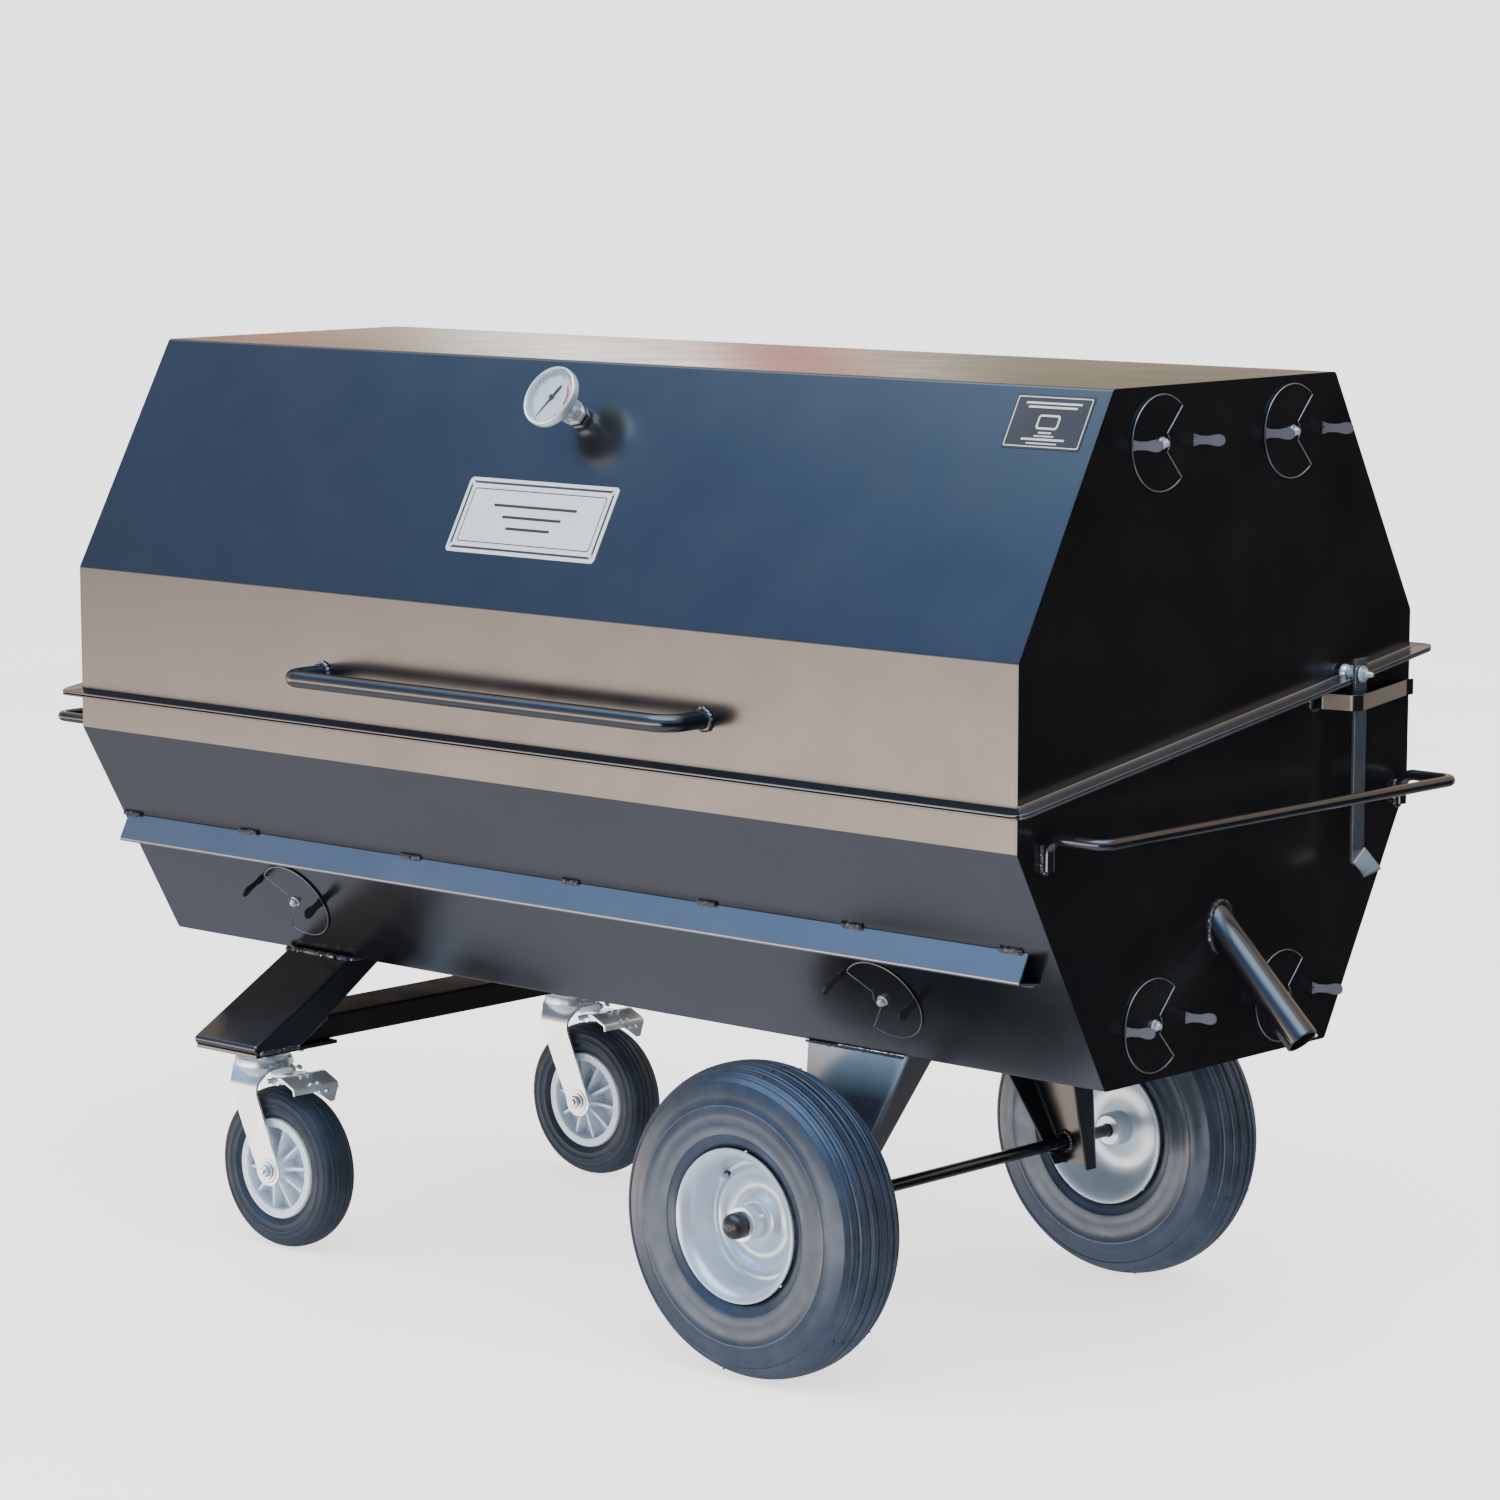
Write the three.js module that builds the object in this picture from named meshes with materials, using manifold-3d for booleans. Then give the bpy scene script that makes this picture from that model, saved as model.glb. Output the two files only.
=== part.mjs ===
// Towable spit roaster: a six-sided charcoal tub with a hinged lid, a drip pan that drains to the
// right, a motor-driven spit, two pneumatic wheels at the right and two braked casters at the left.
// Units are millimetres. X runs along the body (+X is the drain end), -Y is the handle side, +Z is up.

import * as THREE from "three";
import Module from "manifold-3d";

const wasm = await Module();
wasm.setup();

// Body section and length
const HALF_LENGTH = 960;
const TOP_Z = 1418;
const BEND_HIGH_Z = 1065;
const BEND_LOW_Z = 808;
const FLOOR_Z = 457;
const HALF_TOP = 254;
const HALF_WIDE = 450.6;
const HALF_FLOOR = 256;
const SHEET = 3;
const GAP = 0.3;

// Slanted seam between lid and tub
const SEAM_Z = 936.5;
const SEAM_SLOPE = 0.152;
const SEAM_GAP = 1.2;
const FLANGE = 28;
const FLANGE_CORNER_R = 20;
const HINGE_S = 493;
const KNUCKLE_R = 7;

// Running gear
const TYRE_R = 228.6;
const TYRE_WIDTH = 128;
const WHEEL_X = 474;
const WHEEL_Y = 418;
const AXLE_R = 9.5;
const CASTER_R = 129;
const CASTER_WIDTH = 68;
const CASTER_X = -598;
const CASTER_Y = 350;
const CASTER_TRAIL = 55;
const CASTER_TOP_Z = 324;
const WEB_Y = 272;

// Spit and drive
const SPIT_Z = 850;
const SPIT_R = 11;

// Air dampers
const DISC_R = 66;
const DISC_T = 2.5;
const VENT_HALF_ANGLE = 38;

const BLACK = material(0x17191d, 0.32, 0.1);
const DARK_STEEL = material(0x3a3a3c, 0.6, 0.7);
const ZINC = material(0xb9bec6, 0.35, 0.9);
const STAINLESS = material(0xc4c6c8, 0.3, 1);
const TYRE_RUBBER = material(0x3a4048, 0.75, 0);
const RIM_PAINT = material(0x8e98a3, 0.4, 0.5);
const CAST_HUB = material(0xc3ccd6, 0.5, 0.3);
const GLASS = material(0xe8eef2, 0.05, 0);
const PLATE = material(0xbfc3c8, 0.3, 0.8);
const MOTOR_GREY = material(0x55595e, 0.5, 0.3);

function material(color, roughness, metalness) {
  return new THREE.MeshStandardMaterial({ color, roughness, metalness });
}

// ---- solids -------------------------------------------------------------------------------------

function toSolid(geometry) {
  const bare = new THREE.BufferGeometry();
  bare.setAttribute("position", geometry.getAttribute("position").clone());
  if (geometry.index) bare.setIndex(geometry.index.clone());
  const mesh = weld(bare);
  return new wasm.Manifold(new wasm.Mesh(mesh));
}

function weld(geometry) {
  const position = geometry.getAttribute("position");
  const index = geometry.index;
  const count = index ? index.count : position.count;
  const seen = new Map();
  const vertices = [];
  const triangles = [];
  const ids = [];
  for (let i = 0; i < count; i += 1) {
    const v = index ? index.getX(i) : i;
    const p = [position.getX(v), position.getY(v), position.getZ(v)];
    const key = p.map((c) => Math.round(c * 2000)).join(",");
    if (!seen.has(key)) {
      seen.set(key, vertices.length / 3);
      vertices.push(...p);
    }
    ids.push(seen.get(key));
  }
  for (let i = 0; i < count; i += 3) {
    const [a, b, c] = [ids[i], ids[i + 1], ids[i + 2]];
    if (a !== b && b !== c && a !== c) triangles.push(a, b, c);
  }
  return {
    numProp: 3,
    vertProperties: new Float32Array(vertices),
    triVerts: new Uint32Array(triangles),
  };
}

function toGeometry(solid) {
  const mesh = solid.getMesh();
  const geometry = new THREE.BufferGeometry();
  const corners = [];
  for (const v of mesh.triVerts) {
    for (let k = 0; k < 3; k += 1) corners.push(mesh.vertProperties[v * mesh.numProp + k]);
  }
  geometry.setAttribute("position", new THREE.BufferAttribute(new Float32Array(corners), 3));
  return geometry;
}

function union(...solids) {
  return solids.flat().reduce((sum, next) => sum.add(next));
}

function box(x0, x1, y0, y1, z0, z1) {
  const geometry = new THREE.BoxGeometry(x1 - x0, y1 - y0, z1 - z0);
  geometry.translate((x0 + x1) / 2, (y0 + y1) / 2, (z0 + z1) / 2);
  return toSolid(geometry);
}

// A flat outline pushed along one axis. Outline points are (y, z) for "x", (x, z) for "y", (x, y) for "z".
function prism(outline, axis, from, to, holes = []) {
  const shape = new THREE.Shape(outline.map((p) => new THREE.Vector2(p[0], p[1])));
  for (const hole of holes) {
    shape.holes.push(new THREE.Path(hole.map((p) => new THREE.Vector2(p[0], p[1]))));
  }
  const settings = { depth: to - from, bevelEnabled: false, curveSegments: 1 };
  const geometry = new THREE.ExtrudeGeometry(shape, settings);
  geometry.translate(0, 0, from);
  const place = new THREE.Matrix4();
  if (axis === "x") place.set(0, 0, 1, 0, 1, 0, 0, 0, 0, 1, 0, 0, 0, 0, 0, 1);
  if (axis === "y") place.set(1, 0, 0, 0, 0, 0, 1, 0, 0, 1, 0, 0, 0, 0, 0, 1);
  geometry.applyMatrix4(place);
  if (axis === "y") flip(geometry);
  return toSolid(geometry);
}

function flip(geometry) {
  const position = geometry.getAttribute("position");
  for (let i = 0; i < position.count; i += 3) {
    const a = new THREE.Vector3().fromBufferAttribute(position, i + 1);
    const b = new THREE.Vector3().fromBufferAttribute(position, i + 2);
    position.setXYZ(i + 1, b.x, b.y, b.z);
    position.setXYZ(i + 2, a.x, a.y, a.z);
  }
}

// A turned solid about the local Z axis; the profile is a closed ring of (radius, height) points.
function turned(profile, segments) {
  const points = [...profile, profile[0]].map((p) => new THREE.Vector2(p[0], p[1]));
  return toSolid(new THREE.LatheGeometry(points, segments).rotateX(Math.PI / 2));
}

function rod(radius, from, to, segments = 20) {
  const geometry = new THREE.CylinderGeometry(radius, radius, to - from, segments);
  geometry.rotateX(Math.PI / 2);
  geometry.translate(0, 0, (from + to) / 2);
  return toSolid(geometry);
}

// Places a solid built in its own frame: ex and ez become its local X and Z directions.
function placed(solid, origin, ex, ez) {
  const x = new THREE.Vector3(...ex).normalize();
  const z = new THREE.Vector3(...ez).normalize();
  const y = new THREE.Vector3().crossVectors(z, x);
  return solid.transform([
    x.x, x.y, x.z, 0,
    y.x, y.y, y.z, 0,
    z.x, z.y, z.z, 0,
    ...origin, 1,
  ]);
}

function alongX(solid, x, y, z) {
  return placed(solid, [x, y, z], [0, 1, 0], [1, 0, 0]);
}

function alongY(solid, x, y, z) {
  return placed(solid, [x, y, z], [1, 0, 0], [0, 1, 0]);
}

function ring(radius, count, start = 0, sweep = 360) {
  const points = [];
  const last = sweep === 360 ? count : count + 1;
  for (let i = 0; i < last; i += 1) {
    const angle = THREE.MathUtils.degToRad(start + (sweep * i) / count);
    points.push([radius * Math.cos(angle), radius * Math.sin(angle)]);
  }
  return points;
}

// ---- bent sheet and bent rod --------------------------------------------------------------------

// Outline of a bent sheet: the path is one face, the other face lies `thickness` to its right.
function sheetOutline(path, thickness) {
  const other = path.map((point, i) => {
    const before = i > 0 ? direction(path[i - 1], point) : direction(point, path[i + 1]);
    const after = i < path.length - 1 ? direction(point, path[i + 1]) : before;
    const across = [before[1] + after[1], -before[0] - after[0]];
    const scale = thickness / (1 + before[0] * after[0] + before[1] * after[1]);
    return [point[0] + across[0] * scale, point[1] + across[1] * scale];
  });
  return [...path, ...other.reverse()];
}

function direction(a, b) {
  const length = Math.hypot(b[0] - a[0], b[1] - a[1]);
  return [(b[0] - a[0]) / length, (b[1] - a[1]) / length];
}

// A centre line with every inner corner rounded.
function rounded(corners, radius, steps) {
  const points = corners.map((c) => new THREE.Vector3(...c));
  const path = [points[0]];
  for (let i = 1; i < points.length - 1; i += 1) {
    const into = points[i].clone().sub(points[i - 1]).normalize();
    const out = points[i + 1].clone().sub(points[i]).normalize();
    const half = into.angleTo(out) / 2;
    const back = radius * Math.tan(half);
    const start = points[i].clone().addScaledVector(into, -back);
    const end = points[i].clone().addScaledVector(out, back);
    const centre = start.clone().add(end).multiplyScalar(0.5).sub(points[i]);
    centre.setLength(radius / Math.cos(half)).add(points[i]);
    for (let k = 0; k <= steps; k += 1) {
      const arm = start.clone().sub(centre);
      const turn = new THREE.Vector3().crossVectors(into, out).normalize();
      arm.applyAxisAngle(turn, (2 * half * k) / steps);
      path.push(centre.clone().add(arm));
    }
  }
  path.push(points[points.length - 1]);
  return path;
}

class Route extends THREE.Curve {
  constructor(points) {
    super();
    this.points = points;
  }

  at(u) {
    return Math.round(u * (this.points.length - 1));
  }

  getPoint(u) {
    return this.points[this.at(u)].clone();
  }

  getPointAt(u) {
    return this.getPoint(u);
  }

  getTangentAt(u) {
    const i = this.at(u);
    const last = this.points.length - 1;
    const before = i > 0 ? this.points[i].clone().sub(this.points[i - 1]).normalize() : null;
    const after = i < last ? this.points[i + 1].clone().sub(this.points[i]).normalize() : null;
    return (before || after.clone()).clone().add(after || before).normalize();
  }

  getSpacedPoints() {
    return this.points.map((p) => p.clone());
  }
}

function bentRod(corners, radius, bend, segments = 12, steps = 5) {
  const route = new Route(rounded(corners, bend, steps));
  const shape = new THREE.Shape(ring(radius, segments).map((p) => new THREE.Vector2(...p)));
  const geometry = new THREE.ExtrudeGeometry(shape, {
    steps: route.points.length - 1,
    extrudePath: route,
    curveSegments: 1,
  });
  return toSolid(geometry);
}

// ---- assembly bookkeeping -----------------------------------------------------------------------

const roaster = new THREE.Group();
roaster.name = "spit_roaster";

function assembly(name) {
  const group = new THREE.Group();
  group.name = name;
  roaster.add(group);
  return group;
}

function piece(group, name, solid, look) {
  const geometry = toGeometry(solid);
  geometry.computeVertexNormals();
  const mesh = new THREE.Mesh(geometry, look);
  mesh.name = name;
  group.add(mesh);
}

const tub = assembly("tub");
const lid = assembly("lid");
const inside = assembly("inside");
const dampers = assembly("dampers");
const gear = assembly("running_gear");

// ---- seam helpers -------------------------------------------------------------------------------

const SEAM_ANGLE = Math.atan(SEAM_SLOPE);
const COS_SEAM = Math.cos(SEAM_ANGLE);
const SIN_SEAM = Math.sin(SEAM_ANGLE);

function seamZ(y, offset = 0) {
  return SEAM_Z + SEAM_SLOPE * y + offset / COS_SEAM;
}

// Turns a solid built level about the seam centre line into the slanted seam plane.
function onSeam(solid) {
  return placed(solid, [0, 0, SEAM_Z], [1, 0, 0], [0, -SIN_SEAM, COS_SEAM]);
}

function rimPlan(mirrorX) {
  const end = HALF_LENGTH + FLANGE;
  const side = HALF_WIDE + FLANGE;
  const inner = HALF_LENGTH - SHEET;
  const clear = 0.5;
  const plan = [
    [inner, -HALF_WIDE + clear],
    [HALF_LENGTH, -HALF_WIDE + clear],
    [end, -side + clear],
    [end, side - clear],
    [HALF_LENGTH, HALF_WIDE - clear],
    [inner, HALF_WIDE - clear],
  ];
  return mirrorX ? plan.map((p) => [-p[0], p[1]]).reverse() : plan;
}

function seamSlab(offset) {
  const reach = HALF_WIDE + FLANGE + 5;
  return [
    [-reach, seamZ(-reach, offset)],
    [reach, seamZ(reach, offset)],
    [reach, seamZ(reach, offset + SHEET)],
    [-reach, seamZ(-reach, offset + SHEET)],
  ];
}

// Outer edge of the whole seam rim, its four corners rounded.
function rimEdge() {
  const x = HALF_LENGTH + FLANGE - FLANGE_CORNER_R;
  const y = HALF_WIDE + FLANGE - FLANGE_CORNER_R;
  const corners = [[x, y], [-x, y], [-x, -y], [x, -y]];
  const edge = corners.flatMap(([cx, cy], i) =>
    ring(FLANGE_CORNER_R, 4, 90 * i, 90).map((p) => [cx + p[0], cy + p[1]]),
  );
  return prism(edge, "z", 800, 1100);
}

// Flange along one end of the body, mitred towards the side flanges.
function endFlange(offset, mirrorX) {
  const slab = prism(seamSlab(offset), "x", -1000, 1000);
  const plan = prism(rimPlan(mirrorX), "z", 800, 1100);
  return slab.intersect(plan).intersect(rimEdge());
}

// Flanges along both long sides, mitred towards the end flanges.
function sideFlanges(offset) {
  const slab = prism(seamSlab(offset), "x", -1000, 1000);
  const side = HALF_WIDE + FLANGE;
  const inner = HALF_WIDE - SHEET;
  const end = HALF_LENGTH - SHEET - GAP;
  const wall = HALF_WIDE + GAP;
  const front = [
    [-end, -inner],
    [-end, -wall],
    [-HALF_LENGTH, -wall],
    [-HALF_LENGTH - FLANGE + GAP, -side],
    [HALF_LENGTH + FLANGE - GAP, -side],
    [HALF_LENGTH, -wall],
    [end, -wall],
    [end, -inner],
  ];
  const back = front.map((p) => [p[0], -p[1]]).reverse();
  const plans = union(prism(front, "z", 800, 1100), prism(back, "z", 800, 1100));
  return slab.intersect(plans).intersect(rimEdge());
}

// ---- air dampers --------------------------------------------------------------------------------

const LOW_SLOPE = direction([-HALF_WIDE, BEND_LOW_Z], [-HALF_FLOOR, FLOOR_Z]);
const HIGH_SLOPE = direction([-HALF_WIDE, BEND_HIGH_Z], [-HALF_TOP, TOP_Z]);
const RIGHT_WALL = { ex: [0, 1, 0], ez: [1, 0, 0], notch: 0, fixed: 0, range: 160, lean: 27 };
const LEFT_WALL = { ex: [0, -1, 0], ez: [-1, 0, 0], notch: 180, fixed: 180, range: 160, lean: 27 };
const FRONT_SLOPE = {
  ex: [1, 0, 0],
  ez: [0, LOW_SLOPE[1], -LOW_SLOPE[0]],
  notch: 187,
  fixed: 155,
  range: 134,
  lean: 0,
};
const FRONT_DAMPER_S = 297;

function slopePoint(s) {
  return [-HALF_WIDE + LOW_SLOPE[0] * s, BEND_LOW_Z + LOW_SLOPE[1] * s];
}

const [damperY, damperZ] = slopePoint(FRONT_DAMPER_S);
const damperPlaces = {
  damper_right_upper_front: { at: [HALF_LENGTH, -150, 1340], wall: RIGHT_WALL, on: "lid_end_right" },
  damper_right_upper_back: { at: [HALF_LENGTH, 150, 1340], wall: RIGHT_WALL, on: "lid_end_right" },
  damper_right_lower_front: { at: [HALF_LENGTH, -150, 535], wall: RIGHT_WALL, on: "tub_end_right" },
  damper_right_lower_back: { at: [HALF_LENGTH, 150, 535], wall: RIGHT_WALL, on: "tub_end_right" },
  damper_left_upper_front: { at: [-HALF_LENGTH, -150, 1340], wall: LEFT_WALL, on: "lid_end_left" },
  damper_left_upper_back: { at: [-HALF_LENGTH, 150, 1340], wall: LEFT_WALL, on: "lid_end_left" },
  damper_left_lower_front: { at: [-HALF_LENGTH, -150, 535], wall: LEFT_WALL, on: "tub_end_left" },
  damper_left_lower_back: { at: [-HALF_LENGTH, 150, 535], wall: LEFT_WALL, on: "tub_end_left" },
  damper_front_left: { at: [-618, damperY, damperZ], wall: FRONT_SLOPE, on: "tub_shell" },
  damper_front_right: { at: [605, damperY, damperZ], wall: FRONT_SLOPE, on: "tub_shell" },
};

function polar(radius, degrees) {
  const angle = THREE.MathUtils.degToRad(degrees);
  return [radius * Math.cos(angle), radius * Math.sin(angle)];
}

// A finger tab standing out of a wall; its width runs around the damper centre and it leans away from it.
function fingerTab(radius, degrees, from, lean) {
  const half = [[9, from], [6, 9], [6, 22], [8.3, 30], [8.3, 38], [5, 43]];
  const outline = [...half, ...half.map((p) => [-p[0], p[1]]).reverse()];
  const tab = prism(outline, "y", -DISC_T / 2, DISC_T / 2);
  const [x, y] = polar(radius, degrees);
  const outward = polar(1, degrees);
  const [up, away] = polar(1, lean);
  return placed(tab, [x, y, 0], [-outward[1], outward[0], 0], [outward[0] * away, outward[1] * away, up]);
}

function damperDisc(wall) {
  const open = 47.5;
  const outline = [
    ...ring(DISC_R, 15, wall.notch + open, 360 - 2 * open),
    ...ring(17, 3, wall.notch - open, 2 * open - 360 + 265),
  ];
  const disc = prism(outline, "z", 0.5, 0.5 + DISC_T).subtract(rod(4.8, -5, 10, 8));
  return union(disc, fingerTab(DISC_R - DISC_T / 2 - 0.5, wall.notch + 180, 1.4, -wall.lean));
}

function onWall(solid, { at, wall }) {
  return placed(solid, at, wall.ex, wall.ez);
}

function addDamperSeats(solid, node) {
  let result = solid;
  for (const seat of Object.values(damperPlaces).filter((d) => d.on === node)) {
    const vent = seat.wall.notch + seat.wall.range;
    const sector = [
      ...ring(54, 5, vent - VENT_HALF_ANGLE, 2 * VENT_HALF_ANGLE),
      ...ring(20, 2, vent + VENT_HALF_ANGLE, -2 * VENT_HALF_ANGLE),
    ];
    result = result.subtract(onWall(prism(sector, "z", -10, 10), seat));
    result = result.add(onWall(rod(4, -SHEET + 1, 15, 8), seat));
    result = result.add(onWall(fingerTab(75, seat.wall.fixed, -SHEET + 1, seat.wall.lean), seat));
  }
  return result;
}

// ---- tub ----------------------------------------------------------------------------------------

const HEX_LOW = [
  [-HALF_WIDE, BEND_LOW_Z],
  [-HALF_FLOOR, FLOOR_Z],
  [HALF_FLOOR, FLOOR_Z],
  [HALF_WIDE, BEND_LOW_Z],
];
const HEX_HIGH = [
  [-HALF_WIDE, BEND_HIGH_Z],
  [-HALF_TOP, TOP_Z],
  [HALF_TOP, TOP_Z],
  [HALF_WIDE, BEND_HIGH_Z],
];
const SHELL_END = HALF_LENGTH - SHEET - GAP;
const rimLow = -SEAM_GAP / 2 - SHEET;
const rimHigh = SEAM_GAP / 2 + SHEET;

function tubShell() {
  const path = [
    [-HALF_WIDE, seamZ(-HALF_WIDE, rimLow + 1)],
    ...HEX_LOW,
    [HALF_WIDE, seamZ(HALF_WIDE, rimLow + 1)],
  ];
  const outline = sheetOutline([...path].reverse(), SHEET);
  const shell = prism(outline, "x", -SHELL_END, SHELL_END);
  return addDamperSeats(union(shell, sideFlanges(rimLow)), "tub_shell");
}

function tubEnd(right) {
  const wall = [
    [-HALF_WIDE, seamZ(-HALF_WIDE, rimLow + 1)],
    ...HEX_LOW,
    [HALF_WIDE, seamZ(HALF_WIDE, rimLow + 1)],
  ];
  const [from, to] = right ? [HALF_LENGTH - SHEET, HALF_LENGTH] : [-HALF_LENGTH, -HALF_LENGTH + SHEET];
  let end = union(prism(wall, "x", from, to), endFlange(rimLow, !right));
  const inner = right ? HALF_LENGTH - SHEET : -HALF_LENGTH + SHEET;
  const ledge = right
    ? box(inner - 24, inner + 1, -130, 130, 686, 689)
    : box(inner - 1, inner + 24, -130, 130, 711, 714);
  end = union(end, ledge);
  if (right) {
    const bore = placed(rod(26, -60, 60, 24), [960, 0, 655], [0, 1, 0], [1, 0, -1]);
    end = end.subtract(bore).subtract(box(930, 956.9, -26, 26, 680, 695));
  } else {
    end = end.subtract(alongX(rod(17.5, -990, -930, 24), 0, 0, SPIT_Z));
  }
  return addDamperSeats(end, right ? "tub_end_right" : "tub_end_left");
}

piece(tub, "tub_shell", tubShell(), BLACK);
piece(tub, "tub_end_left", tubEnd(false), BLACK);
piece(tub, "tub_end_right", tubEnd(true), BLACK);

// Stiffening angle along the front of the tub, its corner pointing outwards.
function frontRib() {
  const reach = 38;
  const onSlope = (z) => -HALF_FLOOR - ((z - FLOOR_Z) / (BEND_LOW_Z - FLOOR_Z)) * (HALF_WIDE - HALF_FLOOR);
  const top = [onSlope(660), 660];
  const low = [onSlope(612), 612];
  const corner = [top[0] - reach * 0.6, 618];
  const angle = prism(sheetOutline([low, corner, top], SHEET), "x", -948, 915);
  const behind = GAP * 1.15;
  const slope = [
    [onSlope(700) - behind, 700],
    [onSlope(560) - behind, 560],
    [0, 560],
    [0, 700],
  ];
  return angle.subtract(prism(slope, "x", -960, 960));
}
piece(tub, "front_rib", frontRib(), BLACK);

// Drain pipe: leaves the right wall at 45 degrees.
function drainPipe() {
  const start = -24;
  const end = 205;
  const pipe = rod(24, start, end, 20).subtract(rod(20.5, start - 1, end + 1, 20));
  const hook = bentRod([[22.5, 0, 188], [34, 0, 188], [34, 0, 202]], 2.5, 4, 6, 2);
  const standing = placed(union(pipe, hook), [960, 0, 655], [0, 1, 0], [1, 0, -1]);
  const flat = box(938, 1200, -80, 80, 400, 800);
  return standing.intersect(flat);
}
piece(tub, "drain_pipe", drainPipe(), BLACK);

// Push rails across both ends, each foot turned down along the wall.
function pushRail(side, out, front, back, height) {
  const wall = side * (HALF_LENGTH + 8 + GAP);
  const foot = height - 44;
  const corners = [
    [wall, front, foot],
    [wall, front, height],
    [out, front, height],
    [out, back, height],
    [wall, back, height],
    [wall, back, foot],
  ];
  return bentRod(corners, 8, 22, 8, 3);
}
piece(tub, "push_rail_right", pushRail(1, 1063, -394, 424, 826), BLACK);
piece(tub, "push_rail_left", pushRail(-1, -1085, -400, 400, 810), BLACK);

// Loop on the right end that guides the lid stay.
function stayGuide() {
  const path = [[960.5, 205], [960.5, 226], [1021, 238], [964.5, 432], [964.5, 452]];
  const strip = sheetOutline(path, 4);
  const plan = prism(strip, "z", 940, 963);
  return plan.intersect(box(960 + GAP, 1100, 200, 449, 940, 970));
}
piece(tub, "stay_guide", stayGuide(), BLACK);

// ---- lid ----------------------------------------------------------------------------------------

function lidShell() {
  const path = [
    [-HALF_WIDE, seamZ(-HALF_WIDE, rimHigh - 1)],
    ...HEX_HIGH,
    [HALF_WIDE, seamZ(HALF_WIDE, rimHigh - 1)],
  ];
  const shell = prism(sheetOutline(path, SHEET), "x", -SHELL_END, SHELL_END);
  const bore = placed(rod(6, -20, 20, 12), THERMO_SEAT, [1, 0, 0], THERMO_AXIS);
  return union(shell, sideFlanges(rimHigh - SHEET)).subtract(bore);
}

const THERMO_AXIS = [0, -HIGH_SLOPE[1], HIGH_SLOPE[0]];
const THERMO_SEAT = [0, -254 - ((TOP_Z - 1340) / (TOP_Z - BEND_HIGH_Z)) * (HALF_WIDE - HALF_TOP), 1340];

const STAY_Y = 281;
const STAY_Z = 987.5;

function lidEnd(right) {
  const wall = [
    [-HALF_WIDE, seamZ(-HALF_WIDE, rimHigh - 1)],
    ...HEX_HIGH,
    [HALF_WIDE, seamZ(HALF_WIDE, rimHigh - 1)],
  ];
  const [from, to] = right ? [HALF_LENGTH - SHEET, HALF_LENGTH] : [-HALF_LENGTH, -HALF_LENGTH + SHEET];
  let end = union(prism(wall, "x", from, to), endFlange(rimHigh - SHEET, !right));
  if (right) end = end.add(alongX(rod(4, 958, 1014, 12), 0, STAY_Y, STAY_Z));
  return addDamperSeats(end, right ? "lid_end_right" : "lid_end_left");
}

piece(lid, "lid_shell", lidShell(), BLACK);
piece(lid, "lid_end_left", lidEnd(false), BLACK);
piece(lid, "lid_end_right", lidEnd(true), BLACK);

function lidHandle() {
  const wall = -HALF_WIDE - GAP;
  const bar = wall - 75;
  return bentRod([[-394, wall, 941], [-394, bar, 941], [394, bar, 941], [394, wall, 941]], 13, 30, 12, 4);
}
piece(lid, "lid_handle", lidHandle(), BLACK);

function onHighSlope(solid, x, z, lift) {
  const y = -HALF_TOP - ((TOP_Z - z) / (TOP_Z - BEND_HIGH_Z)) * (HALF_WIDE - HALF_TOP);
  const origin = [x, y + THERMO_AXIS[1] * lift, z + THERMO_AXIS[2] * lift];
  return placed(solid, origin, [1, 0, 0], THERMO_AXIS);
}

piece(lid, "name_plate", onHighSlope(box(-153, 153, -60, 60, 0, 1.5), -15, 1192, GAP), PLATE);

function thermometerCase() {
  const stem = rod(4.5, -150, 12, 12);
  const nut = rod(17, 0, 14, 8);
  const neck = rod(8, 12, 54, 12);
  const bowl = turned([[0, 52], [40, 52], [47, 58], [47, 70], [44, 70], [44, 60], [0, 60]], 24);
  return union(stem, nut, neck, bowl);
}
piece(lid, "thermometer_case", onHighSlope(thermometerCase(), 0, 1340, GAP), ZINC);
piece(lid, "thermometer_lens", onHighSlope(rod(43, 66, 68, 24), 0, 1340, GAP), GLASS);

function thermometerPointer() {
  const blade = prism([[-2.6, -24], [2.6, -24], [1.2, 36], [-1.2, 36]], "z", 61.5, 62.7);
  return union(blade, rod(5, 61, 64, 10)).rotate([0, 0, 150]);
}
piece(lid, "thermometer_pointer", onHighSlope(thermometerPointer(), 0, 1340, GAP), BLACK);

// Lid stay: a flat bar hanging from a stud on the lid, its foot folded outwards along a slanting line.
function lidStay() {
  const inner = 990;
  const [front, back] = [STAY_Y - 14, STAY_Y + 14];
  const foldZ = 717.5;
  const slant = THREE.MathUtils.degToRad(34.5);
  const fold = THREE.MathUtils.degToRad(80);
  const rise = (back - front) * Math.tan(slant);
  const footLength = 36;
  const outline = [[front, foldZ], [back, foldZ + rise], [back, 1010], [front, 1010]];
  const bar = prism(outline, "x", inner, inner + 5);
  const along = (back - front) / Math.cos(slant);
  const down = (u, length) => [u - length * Math.sin(slant), -length * Math.cos(slant)];
  const sole = [[0, 0], down(0, footLength), down(along, footLength + rise), [along, 0]];
  const foot = placed(
    prism(sole, "z", 0, 5),
    [inner, front, foldZ],
    [0, Math.cos(slant), Math.sin(slant)],
    [Math.cos(fold), -Math.sin(slant) * Math.sin(fold), Math.cos(slant) * Math.sin(fold)],
  );
  return union(bar, foot).subtract(alongX(rod(4.5, 980, 1005, 12), 0, STAY_Y, STAY_Z));
}
piece(lid, "lid_stay", lidStay(), BLACK);

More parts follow.
